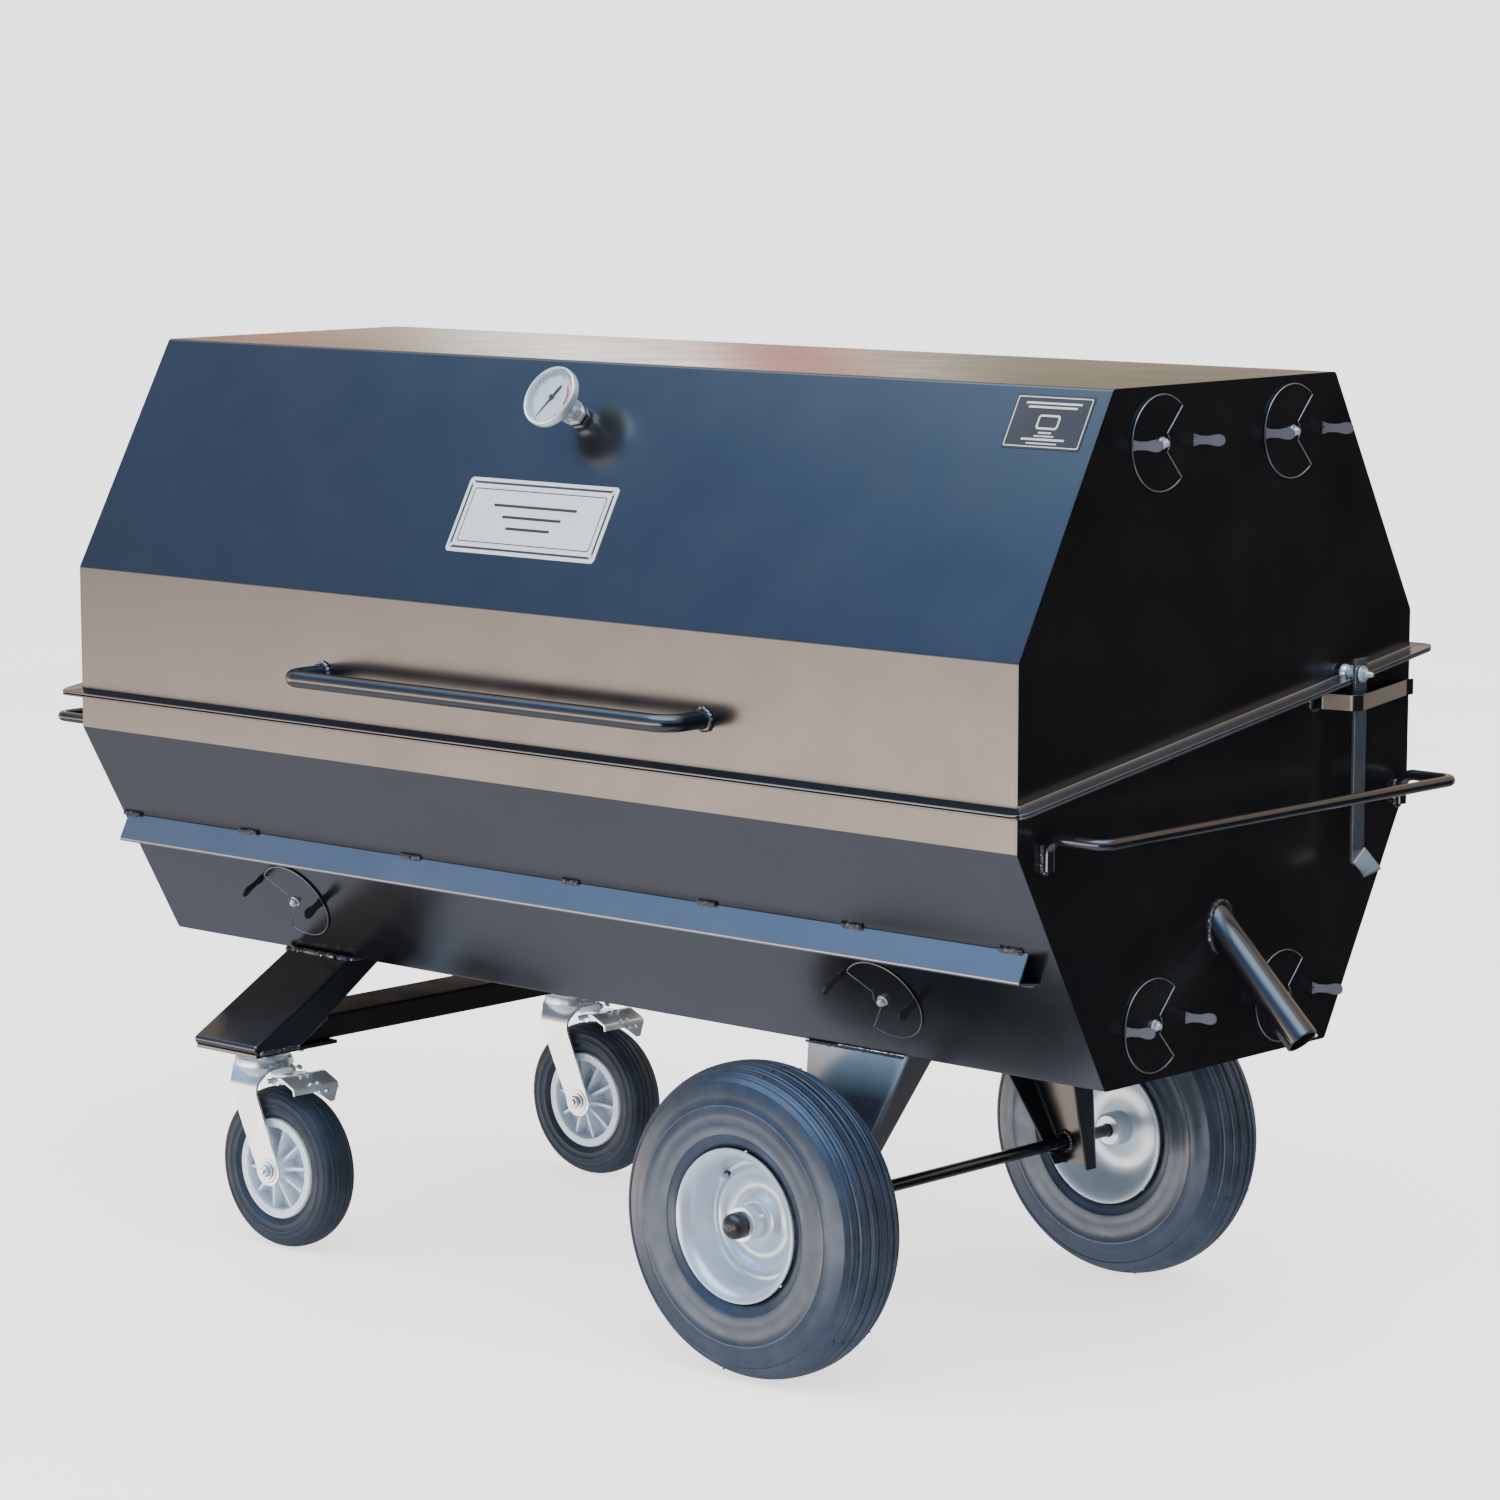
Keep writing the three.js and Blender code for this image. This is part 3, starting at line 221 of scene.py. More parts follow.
def make_materials():
    looks = {
        "paint": paint("black_enamel", BLACK_DEEP, BLACK_WORN, (0.2, 0.26), 1.9, 0.0006),
        "gloss": paint("black_gloss", GLOSS_DEEP, GLOSS_WORN, (0.13, 0.2), 1.8, 0.0004),
        # bright: a lighter blue copy of the black enamel, painted sheen standing in for reflected sky.
        "bright": paint("enamel_painted_sheen", BLUE_DEEP, BLUE_SHEEN_LIGHT, (0.2, 0.28), 3.2, 0.0003),
        # tab: a lighter, bluish copy of the black enamel, painted sheen for the grey-blue look of the
        # end-wall tabs.
        "tab": paint("tab_enamel_painted_sheen", TAB_DEEP, TAB_SHEEN_LIGHT, (0.26, 0.34), 1.7, 0.0002, (0.6, 0.7, 0.95)),
        "dull": paint("dull_enamel", (0.003, 0.003, 0.004), (0.006, 0.006, 0.007), (0.5, 0.65), 1.3, 0.0003),
        "bead": paint("painted_weld", (0.006, 0.006, 0.008), (0.02, 0.02, 0.022), (0.12, 0.22), 2.0, 0.0002),
        "zinc": metal("zinc_plate", (0.58, 0.66, 0.72), (0.8, 0.87, 0.92), (0.24, 0.38), 0.85, 25),
        "steel": metal("stainless", (0.5, 0.5, 0.51), (0.72, 0.72, 0.73), (0.22, 0.35), 1.0, 30, (1, 12, 12)),
        "dark": metal("oiled_steel", (0.03, 0.027, 0.025), (0.1, 0.085, 0.075), (0.45, 0.7), 0.8, 30),
        "tyre": rubber("tyre_rubber", (0.012, 0.017, 0.026), (0.026, 0.034, 0.048), (0.26, 0.38), 1.7),
        "solid_tyre": rubber("solid_rubber", (0.009, 0.012, 0.018), (0.018, 0.023, 0.032), (0.45, 0.58), 1.5),
        "rim": metal("rim_enamel", (0.42, 0.5, 0.58), (0.52, 0.6, 0.68), (0.26, 0.34), 0.5, 14),
        "cast": metal("cast_hub", (0.5, 0.57, 0.66), (0.66, 0.73, 0.81), (0.4, 0.55), 0.15, 90, None, 0.0002),
        "plate": metal("brushed_plate", (0.66, 0.67, 0.68), (0.82,) * 3, (0.3, 0.42), 0.35, 40, (2, 30, 30)),
        "ink": paint("printed_ink", (0.02, 0.02, 0.022), (0.035, 0.035, 0.038), (0.4, 0.5), 1.45, 0.0001),
        "label": paint("label_vinyl", (0.5, 0.49, 0.46), (0.62, 0.61, 0.58), (0.35, 0.45), 1.45, 0.0002),
        "dial": paint("dial_card", (0.62, 0.62, 0.6), (0.72, 0.72, 0.7), (0.45, 0.55), 1.45, 0.0001),
        "red": paint("dial_red", (0.45, 0.03, 0.02), (0.55, 0.05, 0.03), (0.4, 0.5), 1.45, 0.0001),
        "motor": paint("motor_enamel", (0.05, 0.055, 0.06), (0.09, 0.095, 0.1), (0.3, 0.45), 1.5, 0.0002),
        "cap": paint("black_plastic", PLASTIC_DEEP, PLASTIC_WORN, (0.25, 0.35), 1.5, 0.0001),
        "soot": metal("smoked_steel", (0.012, 0.011, 0.01), (0.035, 0.03, 0.026), (0.5, 0.75), 0.3, 12),
    }
    looks["leg"] = leg_paint()
    glass = Nodes("dial_glass")
    glass.shader.inputs["Transmission Weight"].default_value = 1
    glass.shader.inputs["IOR"].default_value = 1.3
    clean = glass.ramp(glass.noise(40, 3), [(0.3, (0.93, 0.95, 0.96)), (0.7, (0.98, 0.99, 1.0))])
    looks["glass"] = glass.finish(clean, glass.span(glass.noise(60, 3), 0.01, 0.05))
    return looks


def floor_material():
    m = Nodes("studio_floor")
    colour = m.ramp(m.noise(1.2, 4), [(0.3, (0.9, 0.9, 0.9)), (0.7, (0.93, 0.93, 0.93))])
    normal = m.bump(m.noise(80, 3), 0.0001, 0.2)
    m.link(colour, m.shader.inputs["Emission Color"])
    m.shader.inputs["Emission Strength"].default_value = 1.6
    return m.finish(colour, m.span(m.noise(3, 3), 0.75, 0.85), normal)


# ---- mesh helpers -------------------------------------------------------------------------------


def to_row(points):
    out = np.array(points, float).reshape(-1, 3) / 1000
    out[:, 0] += DX
    out[:, 1] += DY
    return out


class Place:
    """A local frame in millimetres: ex and ez become its X and Z directions."""

    def __init__(self, origin=(0, 0, 0), ex=(1, 0, 0), ez=(0, 0, 1)):
        z = np.array(ez, float) / np.linalg.norm(ez)
        x = np.array(ex, float) - z * np.dot(ex, z)
        x /= np.linalg.norm(x)
        self.axes = np.array([x, np.cross(z, x), z])
        self.origin = np.array(origin, float)

    def __call__(self, points):
        return np.array(points, float).reshape(-1, 3) @ self.axes + self.origin

    def at(self, x=0, y=0, z=0, turn=0, ez=None):
        """A frame moved and turned inside this one."""
        angle = math.radians(turn)
        made = Place()
        made.origin = self([[x, y, z]])[0]
        c, s = math.cos(angle), math.sin(angle)
        made.axes = np.array([[c, s, 0], [-s, c, 0], [0, 0, 1]]) @ self.axes
        if ez is not None:
            local = Place((0, 0, 0), (1, 0, 0) if abs(ez[0]) < 0.9 else (0, 1, 0), ez)
            made.axes = local.axes @ self.axes
        return made


class Shape:
    """Collects faces from several builders into one mesh."""

    def __init__(self):
        self.points = []
        self.faces = []

    def add(self, points, faces):
        base = len(self.points)
        self.points.extend(map(tuple, points))
        self.faces.extend([tuple(base + i for i in f) for f in faces])
        return self

    def turned(self, profile, place=None, n=48, closed=True):
        """A solid of revolution about the local Z axis. A closed profile is a ring of (radius, height)."""
        place = place or Place()
        rows = len(profile)
        points = []
        for i in range(n):
            a = 2 * math.pi * i / n
            points += [(r * math.cos(a), r * math.sin(a), z) for r, z in profile]
        faces = []
        last = rows if closed else rows - 1
        for i in range(n):
            j = (i + 1) % n
            for k in range(last):
                q = (k + 1) % rows
                faces.append((i * rows + k, j * rows + k, j * rows + q, i * rows + q))
        return self.add(place(points), faces)

    def disc(self, r, low, high, place=None, n=32, chamfer=0.6):
        c = min(chamfer, (high - low) / 3, r / 3)
        profile = [(0.01, low), (r - c, low), (r, low + c), (r, high - c), (r - c, high), (0.01, high)]
        return self.turned(profile, place, n, False)

    def pipe(self, inner, outer, low, high, place=None, n=40, chamfer=0.6):
        c = chamfer
        profile = [(inner, low), (outer - c, low), (outer, low + c)]
        profile += [(outer, high - c), (outer - c, high), (inner, high)]
        return self.turned(profile, place, n)

    def prism(self, outline, low, high, place=None, holes=()):
        """A flat outline pushed from low to high along the local Z axis."""
        place = place or Place()
        rings = [list(outline)] + [list(h) for h in holes]
        flat = [[Vector((p[0], p[1], 0)) for p in ring] for ring in rings]
        triangles = geometry.tessellate_polygon(flat)
        points = [p for ring in rings for p in ring]
        count = len(points)
        solid = [(p[0], p[1], low) for p in points] + [(p[0], p[1], high) for p in points]
        faces = []
        for a, b, c in triangles:
            pa, pb, pc = points[a], points[b], points[c]
            turn = (pb[0] - pa[0]) * (pc[1] - pa[1]) - (pc[0] - pa[0]) * (pb[1] - pa[1])
            if abs(turn) < 1e-12:
                continue
            if turn < 0:
                b, c = c, b
            faces.append((a + count, b + count, c + count))
            faces.append((c, b, a))
        start = 0
        for index, ring in enumerate(rings):
            size = len(ring)
            own = sum(p[0] * q[1] - q[0] * p[1] for p, q in zip(ring, ring[1:] + ring[:1]))
            outward = (own > 0) == (index == 0)
            for i in range(size):
                a, b = start + i, start + (i + 1) % size
                face = (a, b, b + count, a + count)
                faces.append(face if outward else face[::-1])
            start += size
        return self.add(place(solid), faces)

    def block(self, x0, x1, y0, y1, z0, z1, place=None):
        return self.prism([(x0, y0), (x1, y0), (x1, y1), (x0, y1)], z0, z1, place)

    def tube(self, path, radius, n=20, closed=False):
        """A tube swept along a path; radius may be one number or one per point."""
        path = np.array(path, float)
        count = len(path)
        radii = np.broadcast_to(np.array(radius, float), (count,))
        tangents = np.gradient(path, axis=0)
        if closed:
            tangents = np.roll(path, -1, 0) - np.roll(path, 1, 0)
        tangents /= np.linalg.norm(tangents, axis=1)[:, None]
        first = np.cross(tangents[0], (0, 0, 1) if abs(tangents[0][2]) < 0.9 else (1, 0, 0))
        side = first / np.linalg.norm(first)
        points = []
        for i in range(count):
            side = side - tangents[i] * np.dot(side, tangents[i])
            side /= np.linalg.norm(side)
            other = np.cross(tangents[i], side)
            for k in range(n):
                a = 2 * math.pi * k / n
                points.append(path[i] + radii[i] * (math.cos(a) * side + math.sin(a) * other))
        faces = []
        last = count if closed else count - 1
        for i in range(last):
            j = (i + 1) % count
            for k in range(n):
                q = (k + 1) % n
                faces.append((i * n + k, i * n + q, j * n + q, j * n + k))
        if not closed:
            faces.append(tuple(range(n))[::-1])
            faces.append(tuple((count - 1) * n + k for k in range(n)))
        return self.add(points, faces)

    def loft(self, rings):
        """Skins a row of closed outlines with the same number of points and caps both ends."""
        n = len(rings[0])
        points = [p for ring in rings for p in ring]
        faces = [tuple(range(n))[::-1], tuple((len(rings) - 1) * n + k for k in range(n))]
        for r in range(len(rings) - 1):
            for k in range(n):
                q = (k + 1) % n
                faces.append((r * n + k, r * n + q, (r + 1) * n + q, (r + 1) * n + k))
        return self.add(points, faces)

    def bead(self, path, radius=4, seed=1, closed=False, pitch=5.0):
        """A weld bead: a lumpy rope laid along a path."""
        rand = random.Random(seed)
        path = resample(path, pitch / 4, closed)
        radii = []
        wobble = [rand.uniform(-1, 1) for _ in range(len(path) + 8)]
        moved = []
        for i, p in enumerate(path):
            ripple = 0.13 * math.sin(2 * math.pi * i / 4)
            radii.append(radius * (1 + ripple + 0.16 * wobble[i // 3]))
            stray = np.array([wobble[i // 5], wobble[i // 5 + 2], wobble[i // 4 + 1]])
            moved.append(np.array(p) + 0.14 * radius * stray)
        if not closed:
            radii[0] *= 0.5
            radii[-1] *= 0.5
        return self.tube(moved, radii, 10, closed=closed)

    def nut(self, across, low, high, place=None, turn=0):
        """A hexagon nut with chamfered corners."""
        place = (place or Place()).at(turn=turn)
        r = across / 2 / math.cos(math.pi / 6)
        c = across * 0.07
        ring = [(math.cos(math.radians(60 * k)), math.sin(math.radians(60 * k))) for k in range(6)]
        points = []
        for scale, z in ((0.9, low), (1, low + c), (1, high - c), (0.9, high)):
            points += [(x * r * scale, y * r * scale, z) for x, y in ring]
        faces = [tuple(range(6))[::-1], tuple(range(18, 24))]
        for row in range(3):
            for k in range(6):
                q = (k + 1) % 6
                faces.append((row * 6 + k, row * 6 + q, row * 6 + 6 + q, row * 6 + 6 + k))
        return self.add(place(points), faces)

    def thread(self, r, low, high, place=None, pitch=1.5):
        """The threaded end of a bolt."""
        profile = [(0.01, low)]
        z = low
        while z < high - pitch:
            profile += [(r * 0.88, z), (r, z + pitch / 2)]
            z += pitch
        profile += [(r * 0.88, z), (r * 0.75, high), (0.01, high)]
        return self.turned(profile, place, 20, False)

    def mesh(self, name):
        """A mesh in the row frame, with doubled points merged and every face looking outwards."""
        mesh = bpy.data.meshes.new(name)
        mesh.from_pydata([tuple(p) for p in to_row(self.points)], [], self.faces)
        clean = bmesh.new()
        clean.from_mesh(mesh)
        bmesh.ops.remove_doubles(clean, verts=clean.verts, dist=1e-6)
        bmesh.ops.recalc_face_normals(clean, faces=clean.faces)
        clean.to_mesh(mesh)
        clean.free()
        return mesh

    def piece(self, name, body, look, slot, bevel=0.0, segments=2, stands_for=(), smooth=32):
        """Turns the collected faces into a shown piece that rides on a body."""
        mesh = self.mesh(name)
        mesh.materials.append(LOOKS[look])
        mesh.polygons.foreach_set("use_smooth", [True] * len(mesh.polygons))
        mesh.set_sharp_from_angle(angle=math.radians(smooth))
        made = bpy.data.objects.new(name, mesh)
        bpy.context.scene.collection.objects.link(made)
        if bevel:
            soften(made, bevel, segments)
        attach(made, body)
        if stands_for:
            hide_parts(*stands_for)
        return made

    def painted(self, name, body, look, *sizes, **settings):
        return self.piece(name, body, look, BLACK, *sizes, **settings)

    def weld(self, name, body="frame"):
        return self.painted(name, body, "bead")

    def plated(self, name, body, bevel=0.0):
        """A zinc-plated fitting."""
        return self.piece(name, body, "zinc", "zinc", bevel)


def soften(made, width, segments=2):
    cut = made.modifiers.new("edges", "BEVEL")
    cut.width = width / 1000
    cut.segments = segments
    cut.limit_method = "ANGLE"
    cut.angle_limit = math.radians(28)
    cut.harden_normals = True
    cut.miter_outer = "MITER_ARC"


def resample(path, step, closed=False):
    path = [np.array(p, float) for p in path]
    if closed:
        path.append(path[0])
    out = []
    for a, b in zip(path, path[1:]):
        n = max(1, round(np.linalg.norm(b - a) / step))
        out += [a + (b - a) * k / n for k in range(n)]
    if not closed:
        out.append(path[-1])
    return out


def rounded(corners, radius, steps=8):
    """A path with each inner corner turned into an arc."""
    points = [np.array(c, float) for c in corners]
    path = [points[0]]
    for i in range(1, len(points) - 1):
        into = points[i] - points[i - 1]
        out = points[i + 1] - points[i]
        into_n, out_n = into / np.linalg.norm(into), out / np.linalg.norm(out)
        half = math.acos(max(-1, min(1, np.dot(into_n, out_n)))) / 2
        r = min(radius, 0.49 * min(np.linalg.norm(into), np.linalg.norm(out)) / max(math.tan(half), 1e-6))
        back = r * math.tan(half)
        start, end = points[i] - into_n * back, points[i] + out_n * back
        middle = (start + end) / 2 - points[i]
        centre = points[i] + middle / np.linalg.norm(middle) * r / math.cos(half)
        for k in range(steps + 1):
            t = k / steps
            arm = start + (end - start) * t - centre
            path.append(centre + arm / np.linalg.norm(arm) * r)
    path.append(points[-1])
    return [tuple(p) for p in path]


def sheet_outline(path, thickness):
    """Outline of a bent sheet: the path is one face, the other lies to its right."""
    path = [np.array(p, float) for p in path]
    other = []
    for i, p in enumerate(path):
        before = path[i] - path[i - 1] if i else path[1] - path[0]
        after = path[i + 1] - path[i] if i < len(path) - 1 else before
        before, after = before / np.linalg.norm(before), after / np.linalg.norm(after)
        across = np.array([before[1] + after[1], -before[0] - after[0]])
        other.append(p + across * thickness / (1 + np.dot(before, after)))
    return [tuple(p) for p in path] + [tuple(p) for p in reversed(other)]


def arc(radius, start, sweep, n, centre=(0, 0)):
    angles = [math.radians(start + sweep * k / n) for k in range(n + 1)]
    return [(centre[0] + radius * math.cos(a), centre[1] + radius * math.sin(a)) for a in angles]


def circle(radius, n=32):
    return arc(radius, 0, 360 * (n - 1) / n, n - 1)


def rounded_rect(width, height, radius):
    w, h = width / 2 - radius, height / 2 - radius
    out = []
    for cx, cy, start in ((w, h, 0), (-w, h, 90), (-w, -h, 180), (w, -h, 270)):
        out += arc(radius, start, 90, 5, (cx, cy))
    return out


def ellipse(wide, tall, n, centre=(0, 0)):
    """n points round an ellipse, the first one not repeated at the end."""
    angles = np.linspace(0, 2 * math.pi, n + 1)[:-1]
    return [(centre[0] + wide * math.cos(a), centre[1] + tall * math.sin(a)) for a in angles]


BLACK = "black_paint"
ALONG_X = {"ex": (0, 1, 0), "ez": (1, 0, 0)}
ALONG_Y = {"ex": (1, 0, 0), "ez": (0, 1, 0)}
END_ON = Place((0, 0, 0), **ALONG_X)


def seam_z(y, offset=0.0):
    return SEAM_Z + SEAM_SLOPE * y + offset * math.hypot(1, SEAM_SLOPE)


def unit(a, b):
    d = math.hypot(b[0] - a[0], b[1] - a[1])
    return ((b[0] - a[0]) / d, (b[1] - a[1]) / d)


LOW = unit((-HALF_WIDE, BEND_LOW_Z), (-HALF_FLOOR, FLOOR_Z))
HIGH = unit((-HALF_WIDE, BEND_HIGH_Z), (-HALF_TOP, TOP_Z))
LOW_OUT = (0, LOW[1], -LOW[0])
HIGH_OUT = (0, -HIGH[1], HIGH[0])


def low_y(z):
    return -HALF_FLOOR - (z - FLOOR_Z) / (BEND_LOW_Z - FLOOR_Z) * (HALF_WIDE - HALF_FLOOR)


def high_y(z):
    return -HALF_TOP - (TOP_Z - z) / (TOP_Z - BEND_HIGH_Z) * (HALF_WIDE - HALF_TOP)


def cut(made, cutter):
    """Removes a shape from a piece already in place."""
    tool = bpy.data.objects.new("cutter", cutter.mesh("cutter"))
    bpy.context.scene.collection.objects.link(tool)
    change = made.modifiers.new("cut", "BOOLEAN")
    change.object = tool
    change.operation = "DIFFERENCE"
    change.solver = "EXACT"
    evaluated = made.evaluated_get(bpy.context.evaluated_depsgraph_get())
    result = bpy.data.meshes.new_from_object(evaluated)
    made.modifiers.remove(change)
    made.data = result
    bpy.data.objects.remove(tool)


# ---- dampers ------------------------------------------------------------------------------------

DAMPERS = {}
for end, sign in (("right", 1), ("left", -1)):
    for height, z in (("upper", 1340), ("lower", 535)):
        for face, y in (("front", -150), ("back", 150)):
            place = Place((sign * HALF_LENGTH, y, z), (0, sign, 0), (sign, 0, 0))
            notch = 0 if sign > 0 else 180
            wall = ("lid_end_" if height == "upper" else "tub_end_") + end
            DAMPERS[f"damper_{end}_{height}_{face}"] = (place, notch, notch, 160, wall)
for end, x in (("left", -618), ("right", 605)):
    place = Place((x, -HALF_WIDE + LOW[0] * 297, BEND_LOW_Z + LOW[1] * 297), (1, 0, 0), LOW_OUT)
    DAMPERS[f"damper_front_{end}"] = (place, 187, 155, 134, "tub_shell")


def vent_outline(notch, span):
    middle = notch + span
    return arc(54, middle - 38, 76, 16) + arc(20, middle + 38, -76, 8)


def finger_tab(shape, place, radius, angle, foot, lean=0.0):
    """A waisted upright tab; half of its outline is given and the other half mirrors it."""
    half = [(9, foot), (7.4, 4), (6, 9), (5.9, 21), (7.4, 27)]
    half += [(8.3, 31), (8.2, 36), (6.6, 40.5), (3.6, 43), (0, 43.6)]
    outline = half + [(-x, z) for x, z in half[-2::-1]]
    a, tilt = math.radians(angle), math.radians(lean)
    spot = place.at(radius * math.cos(a), radius * math.sin(a), 0, angle - 90)
    local = Place()
    local.origin = spot.origin
    rise = spot.axes[2] * math.cos(tilt) + spot.axes[1] * math.sin(tilt)
    local.axes = np.array([spot.axes[0], rise, np.cross(spot.axes[0], rise)])
    return shape.prism(outline, -1.25, 1.25, local)


def build_dampers():
    for name, (place, notch, fixed, _, wall) in DAMPERS.items():
        lean = 0 if wall == "tub_shell" else 27
        # End-wall tabs take the tab enamel, whose lighter tone is painted sheen; tabs on the tub slope keep
        # the dark plastic look.
        look = "cap" if wall == "tub_shell" else "tab"
        outline = arc(DISC_R, notch + 47.5, 265, 56) + arc(17, notch - 47.5, 95, 6)
        disc = Shape().prism(outline, 0.5, 3, place, [circle(4.4, 16)])
        disc.painted(name + "_disc", name, "paint", 0.9, stands_for=[name])
        # A thin tube round the disc outline in the bright enamel: a painted highlight along the disc edge.
        edge = Shape().tube(place([(x, y, 2.6) for x, y in outline]), 1.0, 10, closed=True)
        edge.painted(name + "_disc_edge_highlight", name, "bright")
        tab = finger_tab(Shape(), place, DISC_R - 1.75, notch + 180, 1.4, -lean)
        tab.painted(name + "_tab", name, look, 0.8)
        body = "lid" if wall.startswith("lid") else "frame"
        base = Shape()
        finger_tab(base, place, 75, fixed, -0.5, lean)
        a = math.radians(fixed)
        centre = place.at(75 * math.cos(a), 75 * math.sin(a), 0, fixed - 90)
        base.painted(name + "_stop", body, look, 0.8)
        foot = Shape().bead(centre([(-6, 1.5, 0.6), (6, 1.5, 0.6)]), 2.2, seed=len(name), pitch=3)
        foot.weld(name + "_stop_weld", body)
        bolt = Shape().thread(4, 2, 13.5, place, 1.25)
        bolt.pipe(4.2, 8.5, 3.1, 4.4, place, 28, 0.3).nut(11.5, 4.4, 10.4, place, 13 * len(name))
        bolt.plated(name + "_bolt", body, 0.35)


# ---- body sheets --------------------------------------------------------------------------------

RIM_LOW = -SEAM_GAP / 2 - SHEET
RIM_HIGH = SEAM_GAP / 2 + SHEET


def flange(shape, offset, side):
    """A mitred flange strip in the seam plane: side is front, back, left or right."""
    long, wide = HALF_LENGTH, HALF_WIDE
    corner = (long + FLANGE - 20, wide + FLANGE - 20)
    if side in ("front", "back"):
        s = -1 if side == "front" else 1
        near = [(long - 3.3, wide - 2), (long, wide + 0.3)] + arc(20, 45.5, 44.5, 6, corner)
        plan = near + [(-x, y) for x, y in reversed(near)]
        plan = [(x, s * y) for x, y in plan]
    else:
        s = -1 if side == "left" else 1
        near = [(long - 2, wide - 0.5), (long, wide - 0.5)] + arc(20, 44.5, -44.5, 6, corner)
        plan = [(x, -y) for x, y in near] + list(reversed(near))
        plan = [(s * x, y) for x, y in plan]
    if sum(a[0] * b[1] - b[0] * a[1] for a, b in zip(plan, plan[1:] + plan[:1])) < 0:
        plan.reverse()
    n = len(plan)
    points = [(x, y, seam_z(y, offset + up)) for up in (0, SHEET) for x, y in plan]
    faces = [tuple(range(n))[::-1], tuple(range(n, 2 * n))]
    faces += [(i, (i + 1) % n, n + (i + 1) % n, n + i) for i in range(n)]
    return shape.add(points, faces)


def build_sheets():
    for part, bend_z, half_flat, flat_z, rim, flange_at in (
        ("tub", BEND_LOW_Z, HALF_FLOOR, FLOOR_Z, RIM_LOW + 1, RIM_LOW),
        ("lid", BEND_HIGH_Z, HALF_TOP, TOP_Z, RIM_HIGH - 1, SEAM_GAP / 2),
    ):
        path = [(-HALF_WIDE, seam_z(-HALF_WIDE, rim)), (-HALF_WIDE, bend_z), (-half_flat, flat_z)]
        path += [(half_flat, flat_z), (HALF_WIDE, bend_z), (HALF_WIDE, seam_z(HALF_WIDE, rim))]
        body = "frame" if part == "tub" else "lid"
        bent = rounded(path, 7, 6)
        if part == "tub":
            bent.reverse()
        span = HALF_LENGTH - SHEET - 0.1
        shell = Shape().prism(sheet_outline(bent, SHEET), -span, span, END_ON)
        skin = shell.painted(part + "_skin", body, "paint", stands_for=[part + "_shell"], smooth=25)
        if part == "tub":
            for name in ("damper_front_left", "damper_front_right"):
                place, notch, _, turn, _ = DAMPERS[name]
                cut(skin, Shape().prism(vent_outline(notch, turn), -12, 12, place))
        soften(skin, 0.8)
        rails = Shape()
        flange(rails, flange_at, "front")
        flange(rails, flange_at, "back")
        rails.painted(part + "_side_flanges", body, "paint", 0.9)
        for end, sign in (("right", 1), ("left", -1)):
            holes = []
            for place, notch, _, turn, wall in DAMPERS.values():
                if wall == f"{part}_end_{end}":
                    cy, cz = place.origin[1], place.origin[2]
                    holes.append([(cy + sign * u, cz + v) for u, v in vent_outline(notch, turn)])
            wall_x = (HALF_LENGTH - SHEET, HALF_LENGTH) if sign > 0 else (-HALF_LENGTH, -HALF_LENGTH + SHEET)
            if part == "tub" and sign > 0:
                holes.append(ellipse(26, 36.8, 39, (0, DRAIN_Z)))
            if part == "tub" and sign < 0:
                holes.append(ellipse(17.5, 17.5, 32, (0, SPIT_Z)))
            plate = Shape().prism(rounded(path, 7, 6)[::-1], *wall_x, END_ON, holes)
            if part == "tub":
                inner = HALF_LENGTH - SHEET
                ledge = (686, 689) if sign > 0 else (711, 714)
                for y0, y1 in ((-130, -27), (27, 130)) if sign > 0 else ((-130, 130),):
                    x0, x1 = sorted((sign * inner, sign * (inner - 24)))
                    plate.block(x0, x1, y0, y1, *ledge)
            stood_for = [f"{part}_end_{end}"]
            plate.painted(f"{part}_{end}_plate", body, "paint", 0.9, stands_for=stood_for)
            # The end flanges and their fold take the bright enamel: painted sheen along the flange.
            strip = flange(Shape(), flange_at, end)
            root = RIM_LOW - 0.6 if part == "tub" else RIM_HIGH + 0.6
            reach, fold_x = HALF_WIDE - 1, sign * (HALF_LENGTH + 0.8)
            fold = [(fold_x, y, seam_z(y, root)) for y in (-reach, 0, reach)]
            strip.tube(resample(fold, 60), 2.3, 12)
            strip.painted(f"{part}_{end}_flange", body, "bright", 0.9)


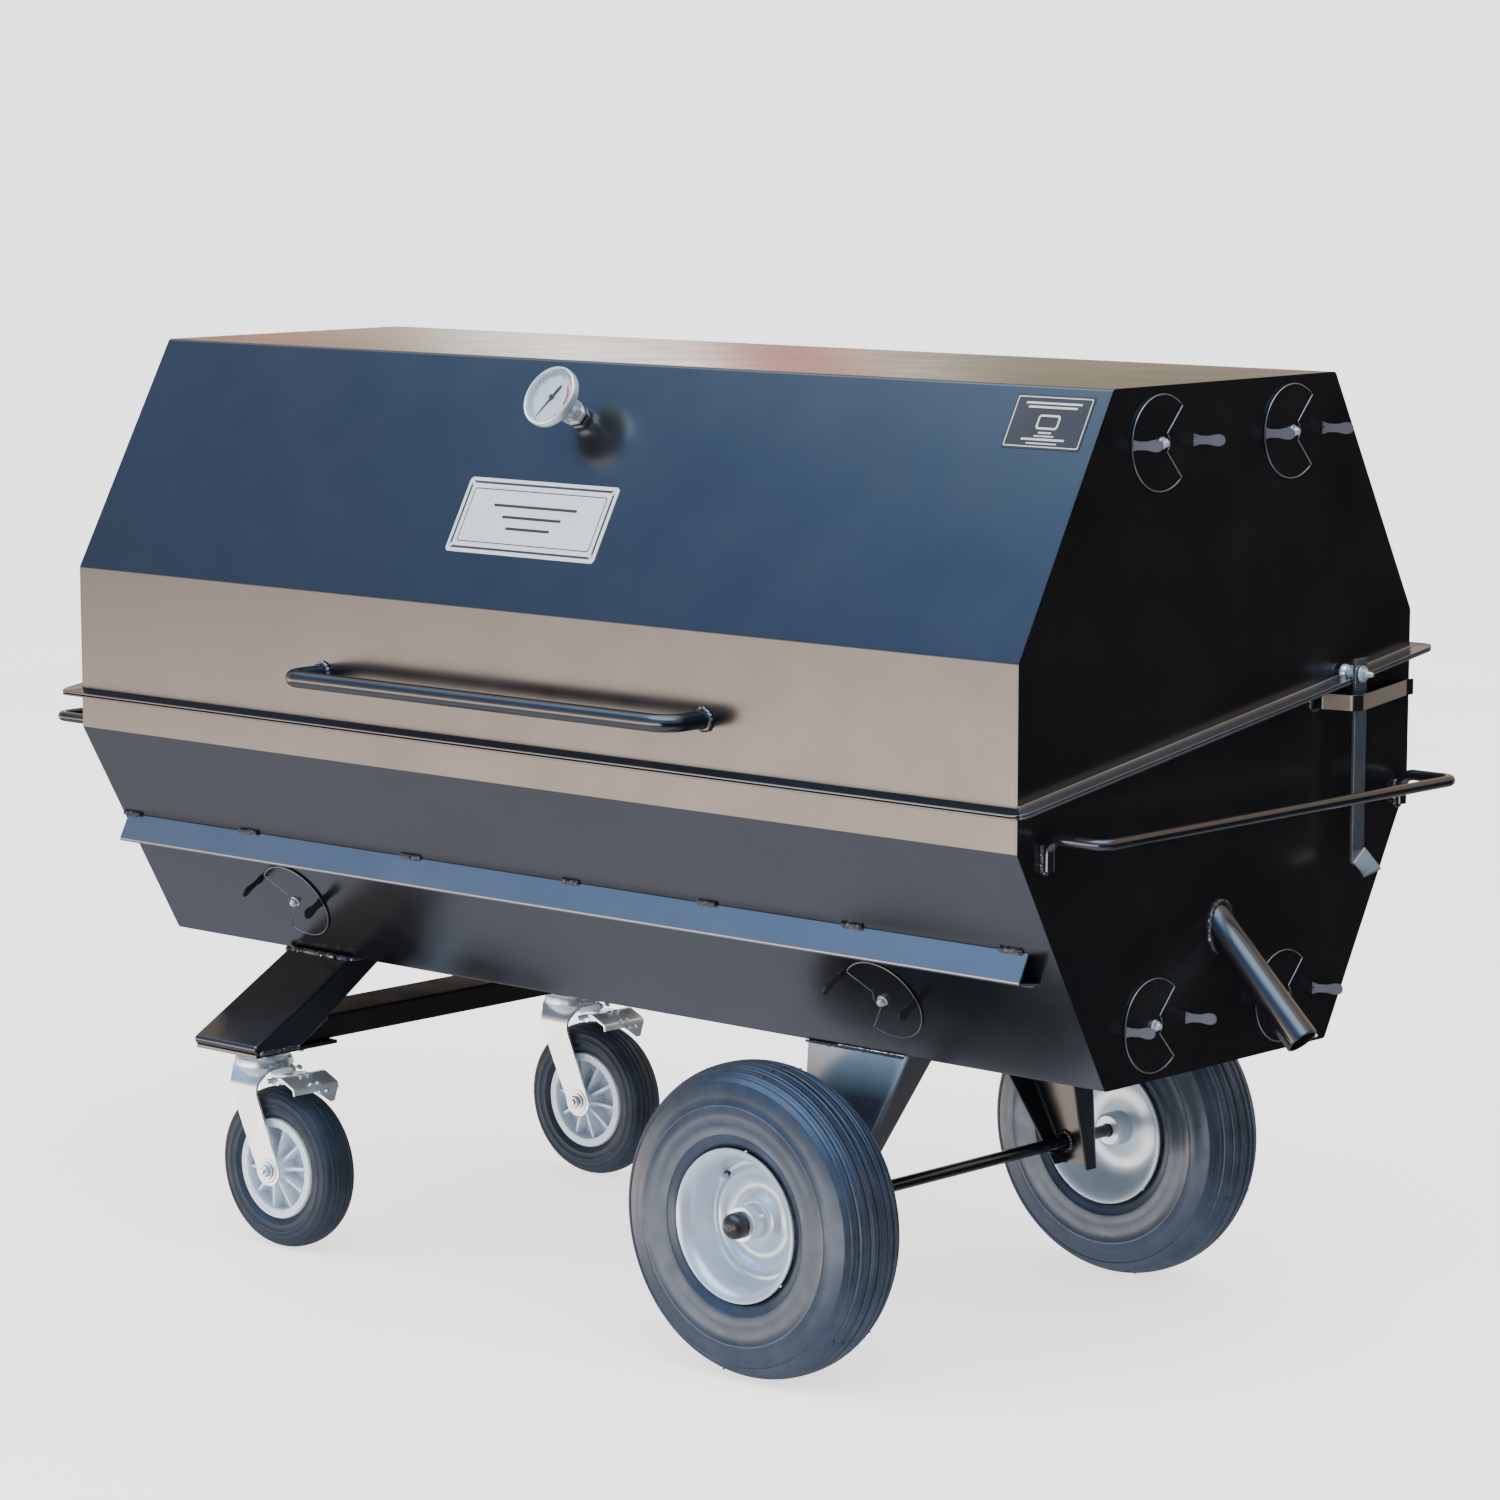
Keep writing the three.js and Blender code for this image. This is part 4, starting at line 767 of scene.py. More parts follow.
def build_trim():
    rib = [(low_y(612) - 1, 612), (low_y(660) - 0.6 * 38, 618), (low_y(660) - 1, 660)]
    angle = Shape().prism(sheet_outline(rounded(rib, 4, 5), SHEET), -948, 915, END_ON)
    # The rib angle takes the bright enamel, painted sheen for reflected sky.
    angle.painted("rib_angle", "frame", "bright", 0.6, stands_for=["front_rib"])
    beads = Shape()
    for k, x in enumerate((-935, -657, -289, 51, 325, 600, 886)):
        for z, seed in ((661, 3), (611, 9)):
            reach = 17 + (k * 7 + seed) % 6
            beads.bead([(x - reach, low_y(z) - 2.5, z), (x + reach, low_y(z) - 2.5, z)], 3.6, seed + k)
    beads.weld("rib_stitch_welds")

    wall = -HALF_WIDE
    root, reach = wall - 0.3, wall - 75.3
    corners = [(-HANDLE_X, root), (-HANDLE_X, reach), (HANDLE_X, reach), (HANDLE_X, root)]
    bar = resample(rounded([(x, y, HANDLE_Z) for x, y in corners], 30, 12), 12)
    Shape().tube(bar, 13, 36).painted("handle_bar", "lid", "gloss", stands_for=["lid_handle"])
    rings = Shape()
    for x in (-HANDLE_X, HANDLE_X):
        loop = [(u, wall - 2.2, v) for u, v in ellipse(14.5, 14.5, 24, (x, HANDLE_Z))]
        rings.bead(loop, 3.8, 5 + (x > 0), closed=True, pitch=6)
    rings.weld("handle_welds", "lid")

    for end, sign, reach, front, back, top in (
        ("right", 1, 1063, -394, 424, 826),
        ("left", -1, 1085, -400, 400, 810),
    ):
        near, far, foot = sign * (HALF_LENGTH + 8.3), sign * reach, top - 44
        corners = [(near, front, foot), (near, front, top), (far, front, top)]
        corners += [(far, back, top), (near, back, top), (near, back, foot)]
        path = resample(rounded(corners, 22, 12), 9)
        rail = Shape().tube(path, 8, 28)
        rail.painted(f"rail_{end}", "frame", "gloss", stands_for=[f"push_rail_{end}"])
        beads = Shape()
        for k, y in enumerate((front, back)):
            for side in (-1, 1):
                x = sign * (HALF_LENGTH + 2.2)
                line = [(x, y + side * 6.5, foot - 3), (x, y + side * 6.8, foot + 36)]
                beads.bead(line, 3.6, 11 + side + 4 * k)
            x = sign * (HALF_LENGTH + 2.4)
            beads.bead([(x, y - 6, foot - 3), (x, y + 6, foot - 3)], 3.2, 17 + k)
        beads.weld(f"rail_{end}_welds")

    slope = Place((HALF_LENGTH, 0, DRAIN_Z), (0, 1, 0), (1, 0, -1))
    pipe = Shape().pipe(20.5, 24, -22, 205, slope, 56, 0.9)
    pipe.painted("drain_tube", "frame", "gloss", stands_for=["drain_pipe"])
    hook = resample(rounded([(22.5, 0, 188), (35, 0, 188), (35, 0, 203)], 6, 6), 2)
    Shape().tube(slope(hook), 2.5, 14).plated("drain_hook", "frame")
    loop = [(HALF_LENGTH + 1.5, u, v) for u, v in ellipse(25.2, 35.8, 39, (0, DRAIN_Z))]
    welds = Shape().bead(loop, 3.6, 21, closed=True, pitch=6)
    welds.bead(slope([(19, 5, 184), (22, 4, 191)]), 3.5, 4)
    welds.bead([(1100, -2, 539), (1106, 2, 534)], 3.6, 8)
    welds.weld("drain_welds")

    plan = rounded([(960.8, 205), (960.8, 226), (1021, 238), (964.5, 432), (964.5, 450)], 11, 8)
    strip = Shape().prism(sheet_outline(plan, 4), 940, 963)
    strip.painted("guide_strip", "frame", "paint", 0.8, stands_for=["stay_guide"])
    welds = Shape()
    welds.bead([(963, 204, 941), (963, 204, 962)], 3.2, 31)
    welds.bead([(963, 208, 940), (963, 223, 940)], 2.8, 32)
    welds.bead([(963, 450, 941), (963, 450, 962)], 3.2, 33)
    welds.weld("guide_welds")


def build_lid_fittings():
    plate = Place((-15, high_y(1192), 1192), (1, 0, 0), HIGH_OUT)
    blank = Shape().prism(rounded_rect(306, 121, 7), 0.3, 1.7, plate)
    blank.piece("maker_plate", "lid", "plate", "plate", 0.5, stands_for=["name_plate"])
    edge = Shape()
    edge.prism(rounded_rect(294, 109, 5), 1.7, 2.0, plate, [rounded_rect(287, 102, 4)])
    edge.prism(rounded_rect(272, 87, 4), 1.7, 1.95, plate, [rounded_rect(269, 84, 3)])
    for y, width in ((18, 170), (0, 120), (-18, 90)):
        edge.block(-width / 2, width / 2, y - 2.2, y + 2.2, 1.7, 1.95, plate)
    edge.piece("maker_plate_border", "lid", "ink", "plate")
    rivets = Shape()
    head = [(0.01, 3.4), (1.6, 3.2), (2.9, 2.4), (3.3, 1.7), (0.01, 1.7)]
    for x in (-143, 143):
        for y in (-50, 50):
            rivets.turned(head, plate.at(x, y), 20, False)
    rivets.plated("maker_plate_rivets", "lid")

    sticker = Place((870, high_y(1370.5), 1370.5), (1, 0, 0), HIGH_OUT)
    Shape().prism(rounded_rect(135, 81, 3), 0.3, 0.6, sticker).piece("blank_label", "lid", "ink", "plate")
    frame_line = Shape().prism(rounded_rect(129, 75, 2.5), 0.6, 0.75, sticker, [rounded_rect(126, 72, 2)])
    upper, lower = ((28, 96, 3), (22, 84, 3)), ((-16, 22, 2.4), (-21, 34, 2), (-26, 74, 3), (-32, 52, 2))
    for y, width, tall in upper + lower:
        frame_line.block(-width / 2, width / 2, y - tall / 2, y + tall / 2, 0.6, 0.75, sticker)
    frame_line.prism(rounded_rect(38, 22, 5), 0.6, 0.75, sticker, [rounded_rect(32, 16, 3)])
    frame_line.piece("blank_label_border", "lid", "label", "plate")

    gauge = Place((0, high_y(GAUGE_Z), GAUGE_Z), (1, 0, 0), HIGH_OUT).at(0, 0, 0.3)
    shell = [(0.01, 52), (30, 52), (39, 53.5), (45, 56), (47, 58.5), (47.4, 62), (47.4, 67)]
    shell += [(46.6, 69.5), (45, 70.4), (43.4, 69.8), (42.8, 68), (42.8, 60.4), (0.01, 60.4)]
    case = Shape().turned(shell, gauge, 96, False)
    case.turned([(0.01, 12), (8, 12), (8, 50), (12, 52.5), (0.01, 52.5)], gauge, 40, False)
    case.piece("gauge_case", "lid", "zinc", "zinc", stands_for=["thermometer_case"])
    stem = Shape().disc(4.4, -150, 13, gauge, 24).nut(30, 0.2, 9, gauge, 12)
    knurl = []
    for k in range(48):
        a = math.radians(7.5 * k)
        r = 18.5 + 1.6 * math.cos(math.radians(7.5 * k * 8))
        knurl.append((r * math.cos(a), r * math.sin(a)))
    stem.prism(knurl, 14, 24, gauge)
    stem.plated("gauge_stem", "lid", 0.6)
    Shape().disc(42.4, 60.45, 60.8, gauge, 64, 0.1).piece("gauge_dial", "lid", "dial", "zinc")
    marks = Shape()
    for k in range(55):
        angle = 240 - 5.5 * k
        long = k % 6 == 0
        spot = gauge.at(turn=angle)
        width = 0.7 if long else 0.35
        marks.block(32.5 if long else 35, 38.5, -width, width, 60.8, 61.0, spot)
    marks.pipe(39.5, 40.3, 60.8, 61.0, gauge, 64, 0.05)
    marks.piece("gauge_marks", "lid", "ink", "zinc")
    arc_mark = Shape().prism(arc(31, -20, 60, 12) + arc(27.5, 40, -60, 12), 60.8, 61.0, gauge)
    arc_mark.piece("gauge_hot_arc", "lid", "red", "zinc")
    domed = [(0.01, 67.2), (30, 67), (42.6, 66), (42.6, 67.4), (30, 68.6), (0.01, 68.9)]
    lens = Shape().turned(domed, gauge, 64, False)
    lens.piece("gauge_lens", "lid", "glass", "glass", stands_for=["thermometer_lens"])
    hand = gauge.at(turn=150)
    blade = [(-1.9, -22), (1.9, -22), (2.4, -12), (1.6, 0)]
    blade += [(0.5, 35.5), (-0.5, 35.5), (-1.6, 0), (-2.4, -12)]
    pointer = Shape().prism(blade, 61.8, 62.5, hand).disc(4.6, 61.4, 64, gauge, 24, 0.4)
    body = "thermometer_pointer"
    pointer.piece("gauge_pointer", body, "cap", "pointer_red", 0.15, stands_for=[body])

    stud = Place((0, STAY_Y, STAY_Z), **ALONG_X)
    fittings = Shape().thread(4, 959.5, 1014.5, stud, 1.25)
    domed = [(0.01, 976), (6, 975.5), (10, 973), (12, 969), (12.4, 965), (0.01, 965)]
    fittings.turned(domed, stud, 32, False)
    fittings.pipe(4.1, 11, 977, 979, stud, 32, 0.3).pipe(4.1, 12, 986.4, 988.8, stud, 32, 0.3)
    fittings.nut(13, 979.2, 985.8, stud, 8).pipe(4.1, 12, 996.4, 998.4, stud, 32, 0.3)
    fittings.nut(13, 998.5, 1005.5, stud, 21)
    fittings.plated("stay_stud_fittings", "lid", 0.3)
    slant = math.radians(34.5)
    along = np.array([0, math.cos(slant), math.sin(slant)])
    across = np.array([0, -math.sin(slant), math.cos(slant)])
    outward = np.array([1.0, 0, 0])
    near, far = STAY_Y - 14, STAY_Y + 14
    ends = [np.array([998, near, 717.5]), np.array([998, far, 736.7])]
    rings = [[(990, near, 1010), (995, near, 1010), (995, far, 1010), (990, far, 1010)]]
    for turn in range(0, 81, 8):
        a = math.radians(turn)
        normal = outward * math.cos(a) + across * math.sin(a)
        down = -along * math.sin(slant) - (across * math.cos(a) - outward * math.sin(a)) * math.cos(slant)
        rings.append([ends[0] - 8 * normal, ends[0] - 3 * normal, ends[1] - 3 * normal, ends[1] - 8 * normal])
    lengths = (29, 29, 48, 48)
    rings.append([p + down * length for p, length in zip(rings[-1], lengths)])
    # The stay bar takes the bright enamel, painted sheen on black-painted steel.
    made = Shape().loft(rings).painted("stay_bar", "lid_stay", "bright", stands_for=["lid_stay"])
    cut(made, Shape().disc(4.6, 980, 1005, stud, 24))
    soften(made, 1.0)


# ---- legs, axle and wheels ----------------------------------------------------------------------


def build_legs():
    pad_z = CASTER_TOP_Z + 0.3
    for side, s in (("front", -1), ("back", 1)):
        outline = [(262, LEG_TOP_Z), (178, LEG_TOP_Z), (369, pad_z + 5), (461, pad_z + 5), (466, 342)]
        outline = [(s * y, z) for y, z in outline]
        leg = Shape().prism(outline if s < 0 else outline[::-1], -691, -545, END_ON)
        leg.painted(f"caster_leg_{side}", "frame", "gloss", 6.5, 4, [f"leg_caster_{side}"])
        pad = Shape().block(-688, -548, *sorted((s * 288, s * 460)), pad_z, pad_z + 6)
        pad.painted(f"caster_pad_{side}", "frame", "gloss", 1)
        top = LEG_TOP_Z - 1
        beads = Shape().bead([(-690, s * 263, top), (-546, s * 263, top)], 4.4, 41 + s)
        beads.bead([(-546, s * 372, 332), (-546, s * 455, 332)], 3.6, 43 + s)
        beads.bead([(-545, s * 262, 455), (-545, s * 184, 454)], 3.6, 45 + s)
        beads.bead([(-561, s * 300, 366), (-556, s * 318, 360), (-556, s * 366, 330)], 3.8, 47 + s)
        beads.weld(f"caster_leg_{side}_welds")

        depth_top, depth_low, low = 72, 30, 196
        rings = []
        for t in np.linspace(0, 1, 7):
            z = LEG_TOP_Z + (low - LEG_TOP_Z) * t
            left, right = 412.6, 602 + (478 - 602) * t
            depth = depth_top + (depth_low - depth_top) * t
            web = -257 - 20 * t
            path = [(left, web + depth), (left, web), (right, web), (right, web + depth)]
            rings.append([(x, y, z) for x, y in sheet_outline(rounded(path, 11, 6)[::-1], 4)])
        if side == "back":
            rings = [[(2 * WHEEL_X - x, -y, z) for x, y, z in ring] for ring in rings]
        made = Shape().loft(rings)
        made.painted(f"wheel_leg_{side}", "frame", "leg", 0.8, stands_for=[f"leg_wheel_{side}"])
        edge = [(2 * WHEEL_X - x if s > 0 else x, s * 257.5, 455.6) for x in (414, 600)]
        beads = Shape().bead(edge, 2.2, 51 + s)
        loop = [(u, s * (WEB_Y + 3.5), v) for u, v in ellipse(14, 14, 24, (WHEEL_X, TYRE_R))]
        beads.bead(loop, 4, 53 + s, closed=True)
        inner = [(x, y - s * 7, z) for x, y, z in loop]
        beads.bead(inner, 4, 55 + s, closed=True)
        beads.weld(f"wheel_leg_{side}_welds")
        gusset = Place((WHEEL_X, 0, TYRE_R), (0, s, 0), (1, 0, 0))
        corners = [(WEB_Y - 42, -s * 9.6), (WEB_Y - 1, -s * 9.6), (WEB_Y - 1, -s * 34)]
        web = Shape().prism(corners, -2.5, 2.5, gusset)
        web.painted(f"axle_gusset_{side}", "frame", "gloss", 0.6)

    beam = Shape()
    top, z0, z1 = 306, pad_z + 6.3, 369
    beam.prism([(-top, z1), (-361, z0), (361, z0), (top, z1)], -662, -560, END_ON)
    beam.painted("cross_beam", "frame", "dull", 4.5, 3, ["caster_cross_beam"])
    rod = Shape().disc(AXLE_R, -486, 486, Place((WHEEL_X, 0, TYRE_R), **ALONG_Y), 40, 1.5)
    rod.painted("axle_rod", "frame", "gloss", stands_for=["axle"])


def tread_profile(radius, half, crown, grooves, fine, rim, bead, sidewall):
    """Half-turned outline of a tyre from one bead over the tread to the other."""
    across = np.arange(-half * 0.83, half * 0.83 + 0.01, 0.75)
    outer = []
    for h in across:
        r = radius - crown * abs(h / (half * 0.83)) ** 2.4
        for at, width, depth in grooves:
            r -= depth * math.exp(-((abs(h) - at) / (width / 2)) ** 6)
        for at in fine:
            r -= 1.5 * math.exp(-((abs(h) - at) / 0.9) ** 4)
        outer.append((r, h))
    side = [(r, -h) for r, h in sidewall]
    return [(rim, -bead)] + side + outer + [(r, h) for r, h in reversed(sidewall)] + [(rim, bead)]


def build_wheels():
    sidewall = [(114, 53), (121, 57), (128, 58.6), (130, 60.2), (132, 59.4), (146, 62.4)]
    sidewall += [(158, 63.6), (170, 63.8), (171, 64.6), (173.5, 64.6), (174.5, 63.6), (186, 62)]
    sidewall += [(196, 59.4), (204, 56.2), (205, 57), (207, 56), (208, 54.6)]
    grooves = [(9.5, 3.2, 4.2), (24, 3.0, 4.2), (40, 2.6, 3.6)]
    fine = [4.0, 13.5, 20, 28, 34, 45, 50.5]
    profile = tread_profile(TYRE_R, 64, CROWN, grooves, fine, 110, 48, sidewall)
    inner_dish = [(11, -44), (22, -44), (26, -41), (26, -14), (40, -11), (62, -7), (80, -14), (90, -26)]
    inner_lip = [(93.5, -45), (100, -54), (107, -59.4), (111, -60), (112, -57.5), (106, -52), (99, -44)]
    well = [(97, -20), (97, 20)]
    outer_lip = [(99, 44), (106, 52), (112, 57.5), (111, 60), (107, 59.4), (101, 54), (95.5, 46)]
    outer_dish = [(93, 30), (90, 14), (86, 8.5), (81, 8), (77, 11), (72, 13), (67, 11.5), (63, 7)]
    outer_dish += [(56, 3.5), (47, 3), (41, 6), (36, 12), (32, 14.5), (26.5, 15)]
    hub = [(25, 17), (25, 43), (24, 44.5), (20, 45), (11, 45)]
    rim = inner_dish + inner_lip + well + outer_lip + outer_dish + hub
    dome = [(0.01, 72), (2.5, 71.7), (3, 70.8), (5.5, 70.6), (6.5, 71), (11, 69.6), (15, 67)]
    dome += [(18, 63), (19, 58), (19, 47), (17.5, 45.5), (0.01, 45.5)]
    valve_stem = [(0.01, 3), (3.8, 3), (3.8, 12), (4.4, 12.6), (4.4, 18), (3.4, 19.4), (0.01, 19.6)]
    grease_head = [(0.01, 3), (2.6, 3), (2.4, 6), (3.2, 7.5), (2.4, 9.5), (0.01, 10)]
    for side, s in (("front", -1), ("back", 1)):
        body = f"wheel_{side}"
        place = Place((WHEEL_X, s * WHEEL_Y, TYRE_R), (1, 0, 0), (0, s, 0))
        tyre = Shape().turned(profile, place, 180)
        tyre.piece(f"{body}_tyre_tread", body, "tyre", "tyre", stands_for=[f"wheel_tyre_{side}"], smooth=42)
        nubs = Shape()
        rand = random.Random(7)
        for k in range(26):
            a = rand.uniform(0, 360)
            h = rand.choice((-49, -34.5, 18, 34.5, 49)) + rand.uniform(-2, 2)
            spot = place.at(turn=a)
            r = TYRE_R - CROWN * abs(h / 53) ** 2.4
            tip = rand.uniform(3, 6)
            whisker = [(r - 1, 0, h), (r + tip * 0.6, 0.3, h), (r + tip * 0.8, 1.4, h + 0.8)]
            nubs.tube(spot(whisker), [0.5, 0.4, 0.2], 6)
        for a in (20, 80, 140, 200, 260, 320):
            for h in (-36, -18.7, 0, 18.7, 36):
                r = TYRE_R - CROWN * abs(h / 53) ** 2.4
                spot = place.at(turn=a)
                nubs.block(r - 1.5, r + 0.25, -0.5, 0.5, h - 5.5, h + 5.5, spot)
        nubs.piece(f"{body}_tyre_nubs", body, "tyre", "tyre")
        disc = Shape().turned(rim, place, 120)
        disc.piece(f"{body}_rim_disc", body, "rim", "rim_paint", stands_for=[f"wheel_rim_{side}"], smooth=35)
        cap = Shape().turned(dome, place, 48, False)
        cap.piece(f"{body}_hub_cap", body, "cap", "rim_paint")
        ring = Shape().pipe(19.1, 25.6, 42, 46.5, place, 64, 1.2)
        ring.plated(f"{body}_hub_washer", body)
        valve = place.at(turn=135).at(82, 0, 8, ez=(-0.3, 0, 1))
        Shape().disc(6, 0, 3.5, valve, 28, 1).piece(f"{body}_valve_boot", body, "cap", "tyre")
        stem = Shape().turned(valve_stem, valve, 24, False)
        stem.plated(f"{body}_valve_stem", body)
        nipple = place.at(turn=28).at(24.5, 0, 30, ez=(1, 0, 0))
        fitting = Shape().nut(8, 0, 4, nipple).turned(grease_head, nipple, 20, False)
        fitting.plated(f"{body}_grease_fitting", body)


# ---- casters ------------------------------------------------------------------------------------


def build_casters():
    sidewall = [(83, 25), (86, 29.5), (89, 30.4), (90, 31.8), (92, 31.4), (100, 32.6), (101, 33.6)]
    sidewall += [(103, 33.6), (104, 32.6), (112, 31.8), (113, 32.6), (115, 32), (116, 30.6), (119.5, 29)]
    grooves = [(6.5, 1.8, 2.4), (14.5, 1.8, 2.4), (22, 1.8, 2.2)]
    profile = tread_profile(CASTER_R, CASTER_HALF, 8, grooves, [], 80.6, 24, sidewall)
    for side, s in (("front", -1), ("back", 1)):
        swivel, y = CASTER_X - TRAIL, s * CASTER_Y
        body, wheel = f"caster_{side}", f"caster_wheel_{side}"
        axis = Place((CASTER_X, y, CASTER_R), (1, 0, 0), (0, s, 0))
        upright = Place((swivel, y, 0))
        tyre = Shape().turned(profile, axis, 150)
        stood_for = [f"caster_tyre_{side}"]
        tyre.piece(f"{wheel}_tyre_tread", wheel, "solid_tyre", "tyre", stands_for=stood_for, smooth=42)
        hub = Shape()
        felloe = [(66, -27), (67.5, -29), (79, -29), (80.5, -26), (80.5, 26)]
        felloe += [(79, 29), (67.5, 29), (66, 27), (68.5, 3), (68.5, -3)]
        hub.turned(felloe, axis, 120)
        hub.turned([(14, -2.5), (69, -2.5), (69, 2.5), (14, 2.5)], axis, 80)
        barrel = [(6.6, -38), (14, -38), (16, -36), (20, -8), (20, 8), (16, 36), (14, 38), (6.6, 38)]
        hub.turned(barrel, axis, 64)
        for k in range(10):
            spot = axis.at(turn=36 * k + 6)
            rib = [(16, -30), (24, -29), (68, -21), (68, 21), (24, 29), (16, 30)]
            local = Place()
            local.origin, local.axes = spot.origin, np.array([spot.axes[0], spot.axes[2], -spot.axes[1]])
            hub.prism(rib, -2.4, 2.4, local)
        hub.piece(f"{wheel}_cast_hub", wheel, "cast", "cast_hub", 0.7, stands_for=[f"caster_hub_{side}"])

        plate = Shape().prism(rounded_rect(116, 100, 6), CASTER_TOP_Z - 5, CASTER_TOP_Z, upright)
        plate.piece(f"{body}_plate", "frame", "zinc", "zinc", 0.7, stands_for=[f"caster_plate_{side}"])
        cone = [(8, 306), (30, 306), (34, 309), (38, 315), (40, 319), (8, 319)]
        race = Shape().turned(cone, upright, 64)
        race.turned([(0.01, 290), (8, 290), (8, 307), (0.01, 307)], upright, 24, False)
        for x in (-46, 46):
            for v in (-38, 38):
                spot = upright.at(x, v)
                race.nut(15, CASTER_TOP_Z - 13, CASTER_TOP_Z - 5.2, spot, 17)
                race.thread(4.8, CASTER_TOP_Z - 17, CASTER_TOP_Z - 12, spot)
        race.plated(f"{body}_race", "frame", 0.3)

        fork = Shape()
        cup = [(9, 284), (42, 284), (46, 286), (47, 291), (45, 299)]
        cup += [(41, 303), (37, 303), (36, 296), (33, 290), (9, 290)]
        fork.turned(cup, upright, 72)
        inner = CASTER_HALF + 7
        bends = [(-inner, 104), (-inner, 262), (-24, 284.5), (24, 284.5), (inner, 262), (inner, 104)]
        flat = resample(rounded(bends, 16, 8), 5)
        rings = []
        for k, p in enumerate(flat):
            before, after = flat[max(k - 1, 0)], flat[min(k + 1, len(flat) - 1)]
            run = (after - before) / np.linalg.norm(after - before)
            over = np.array([-run[1], run[0]]) * 4.2
            rise = max(0.0, min(1.0, (p[1] - CASTER_R) / 118))
            middle = TRAIL - 54 * rise
            width = 26 + 3 * rise
            if p[1] < CASTER_R:
                width = max(7.0, math.sqrt(max(0.0, 26 ** 2 - (CASTER_R - p[1]) ** 2)))
            if p[1] > 247:
                t = min(1.0, (p[1] - 247) / 36)
                middle, width = middle * (1 - t), width + (43 - width) * t * t
            q = p + over
            back, ahead = swivel + middle - width, swivel + middle + width
            ring = [(back, *p), (ahead, *p), (ahead, *q), (back, *q)]
            rings.append([(x, y + v, z) for x, v, z in ring])
        fork.loft(rings)
        for t in (-1, 1):
            boss = Place((CASTER_X, y, CASTER_R), (1, 0, 0), (0, t, 0))
            fork.disc(20, inner + 3.5, inner + 5.6, boss, 40, 0.8)
        fork.piece(f"{body}_fork", body, "zinc", "zinc", 1.0, 3, [f"caster_fork_{side}"])
        bolt = Shape()
        for t in (-1, 1):
            end = Place((CASTER_X, y, CASTER_R), (1, 0, 0), (0, t, 0))
            bolt.pipe(6, 14, inner + 6.2, inner + 8.4, end, 32, 0.3)
            bolt.nut(18, inner + 8.4, inner + 15, end, 10 + 20 * t)
            bolt.thread(6, inner + 14, inner + 18.5, end, 1.6).pipe(6.6, 12, 38.3, 40.6, end, 32, 0.4)
        bolt.disc(5.8, -inner, inner, axis, 24)
        bolt.plated(f"{body}_axle_bolt", body, 0.3)

        pedal = Shape()
        xz = Place((swivel, y, 0), (1, 0, 0), (0, -1, 0))
        arm = rounded([(45, 268), (64, 281), (94, 281)], 6, 5)
        pedal.prism(sheet_outline(arm, 3.4), -21, 21, xz)
        tread = rounded([(84, 281.5), (92, 281.5), (121, 268), (123, 258)], 5, 6)
        pedal.prism(sheet_outline(tread, 3.4), -47, 47, xz)
        drop = math.atan2(13.5, 29)
        slope = upright.at(106.5, 0, 274.7, ez=(math.sin(drop), 0, math.cos(drop)))
        bump = [(0.01, 4.2), (2.5, 3.9), (4.6, 2.4), (5.6, 0), (0.01, 0)]
        for u in (-8, 7):
            for v in (-35, -12, 12, 35):
                pedal.turned(bump, slope.at(v, u), 24, False)
        toe = Place((swivel, y, 0), (0, 1, 0), (1, 0, 0))
        pedal.prism([(-8, 262), (46.5, 262), (38, 238), (30, 238), (10, 252)], 119.6, 122.8, toe)
        cheek = [(44, 262), (58, 262), (78, 277), (78, 280), (60, 280), (44, 274)]
        for t in (-22, 22):
            pedal.prism(cheek, t - 1.5, t + 1.5, xz)
        pivot = Place((swivel + 50, y, 270), **ALONG_Y)
        pedal.disc(4, -40, 40, pivot, 20)
        pedal.piece(f"brake_{side}_pedal", f"brake_{side}", "zinc", "zinc", 0.8, 2, [f"brake_pedal_{side}"])


# ---- inside and drive ---------------------------------------------------------------------------


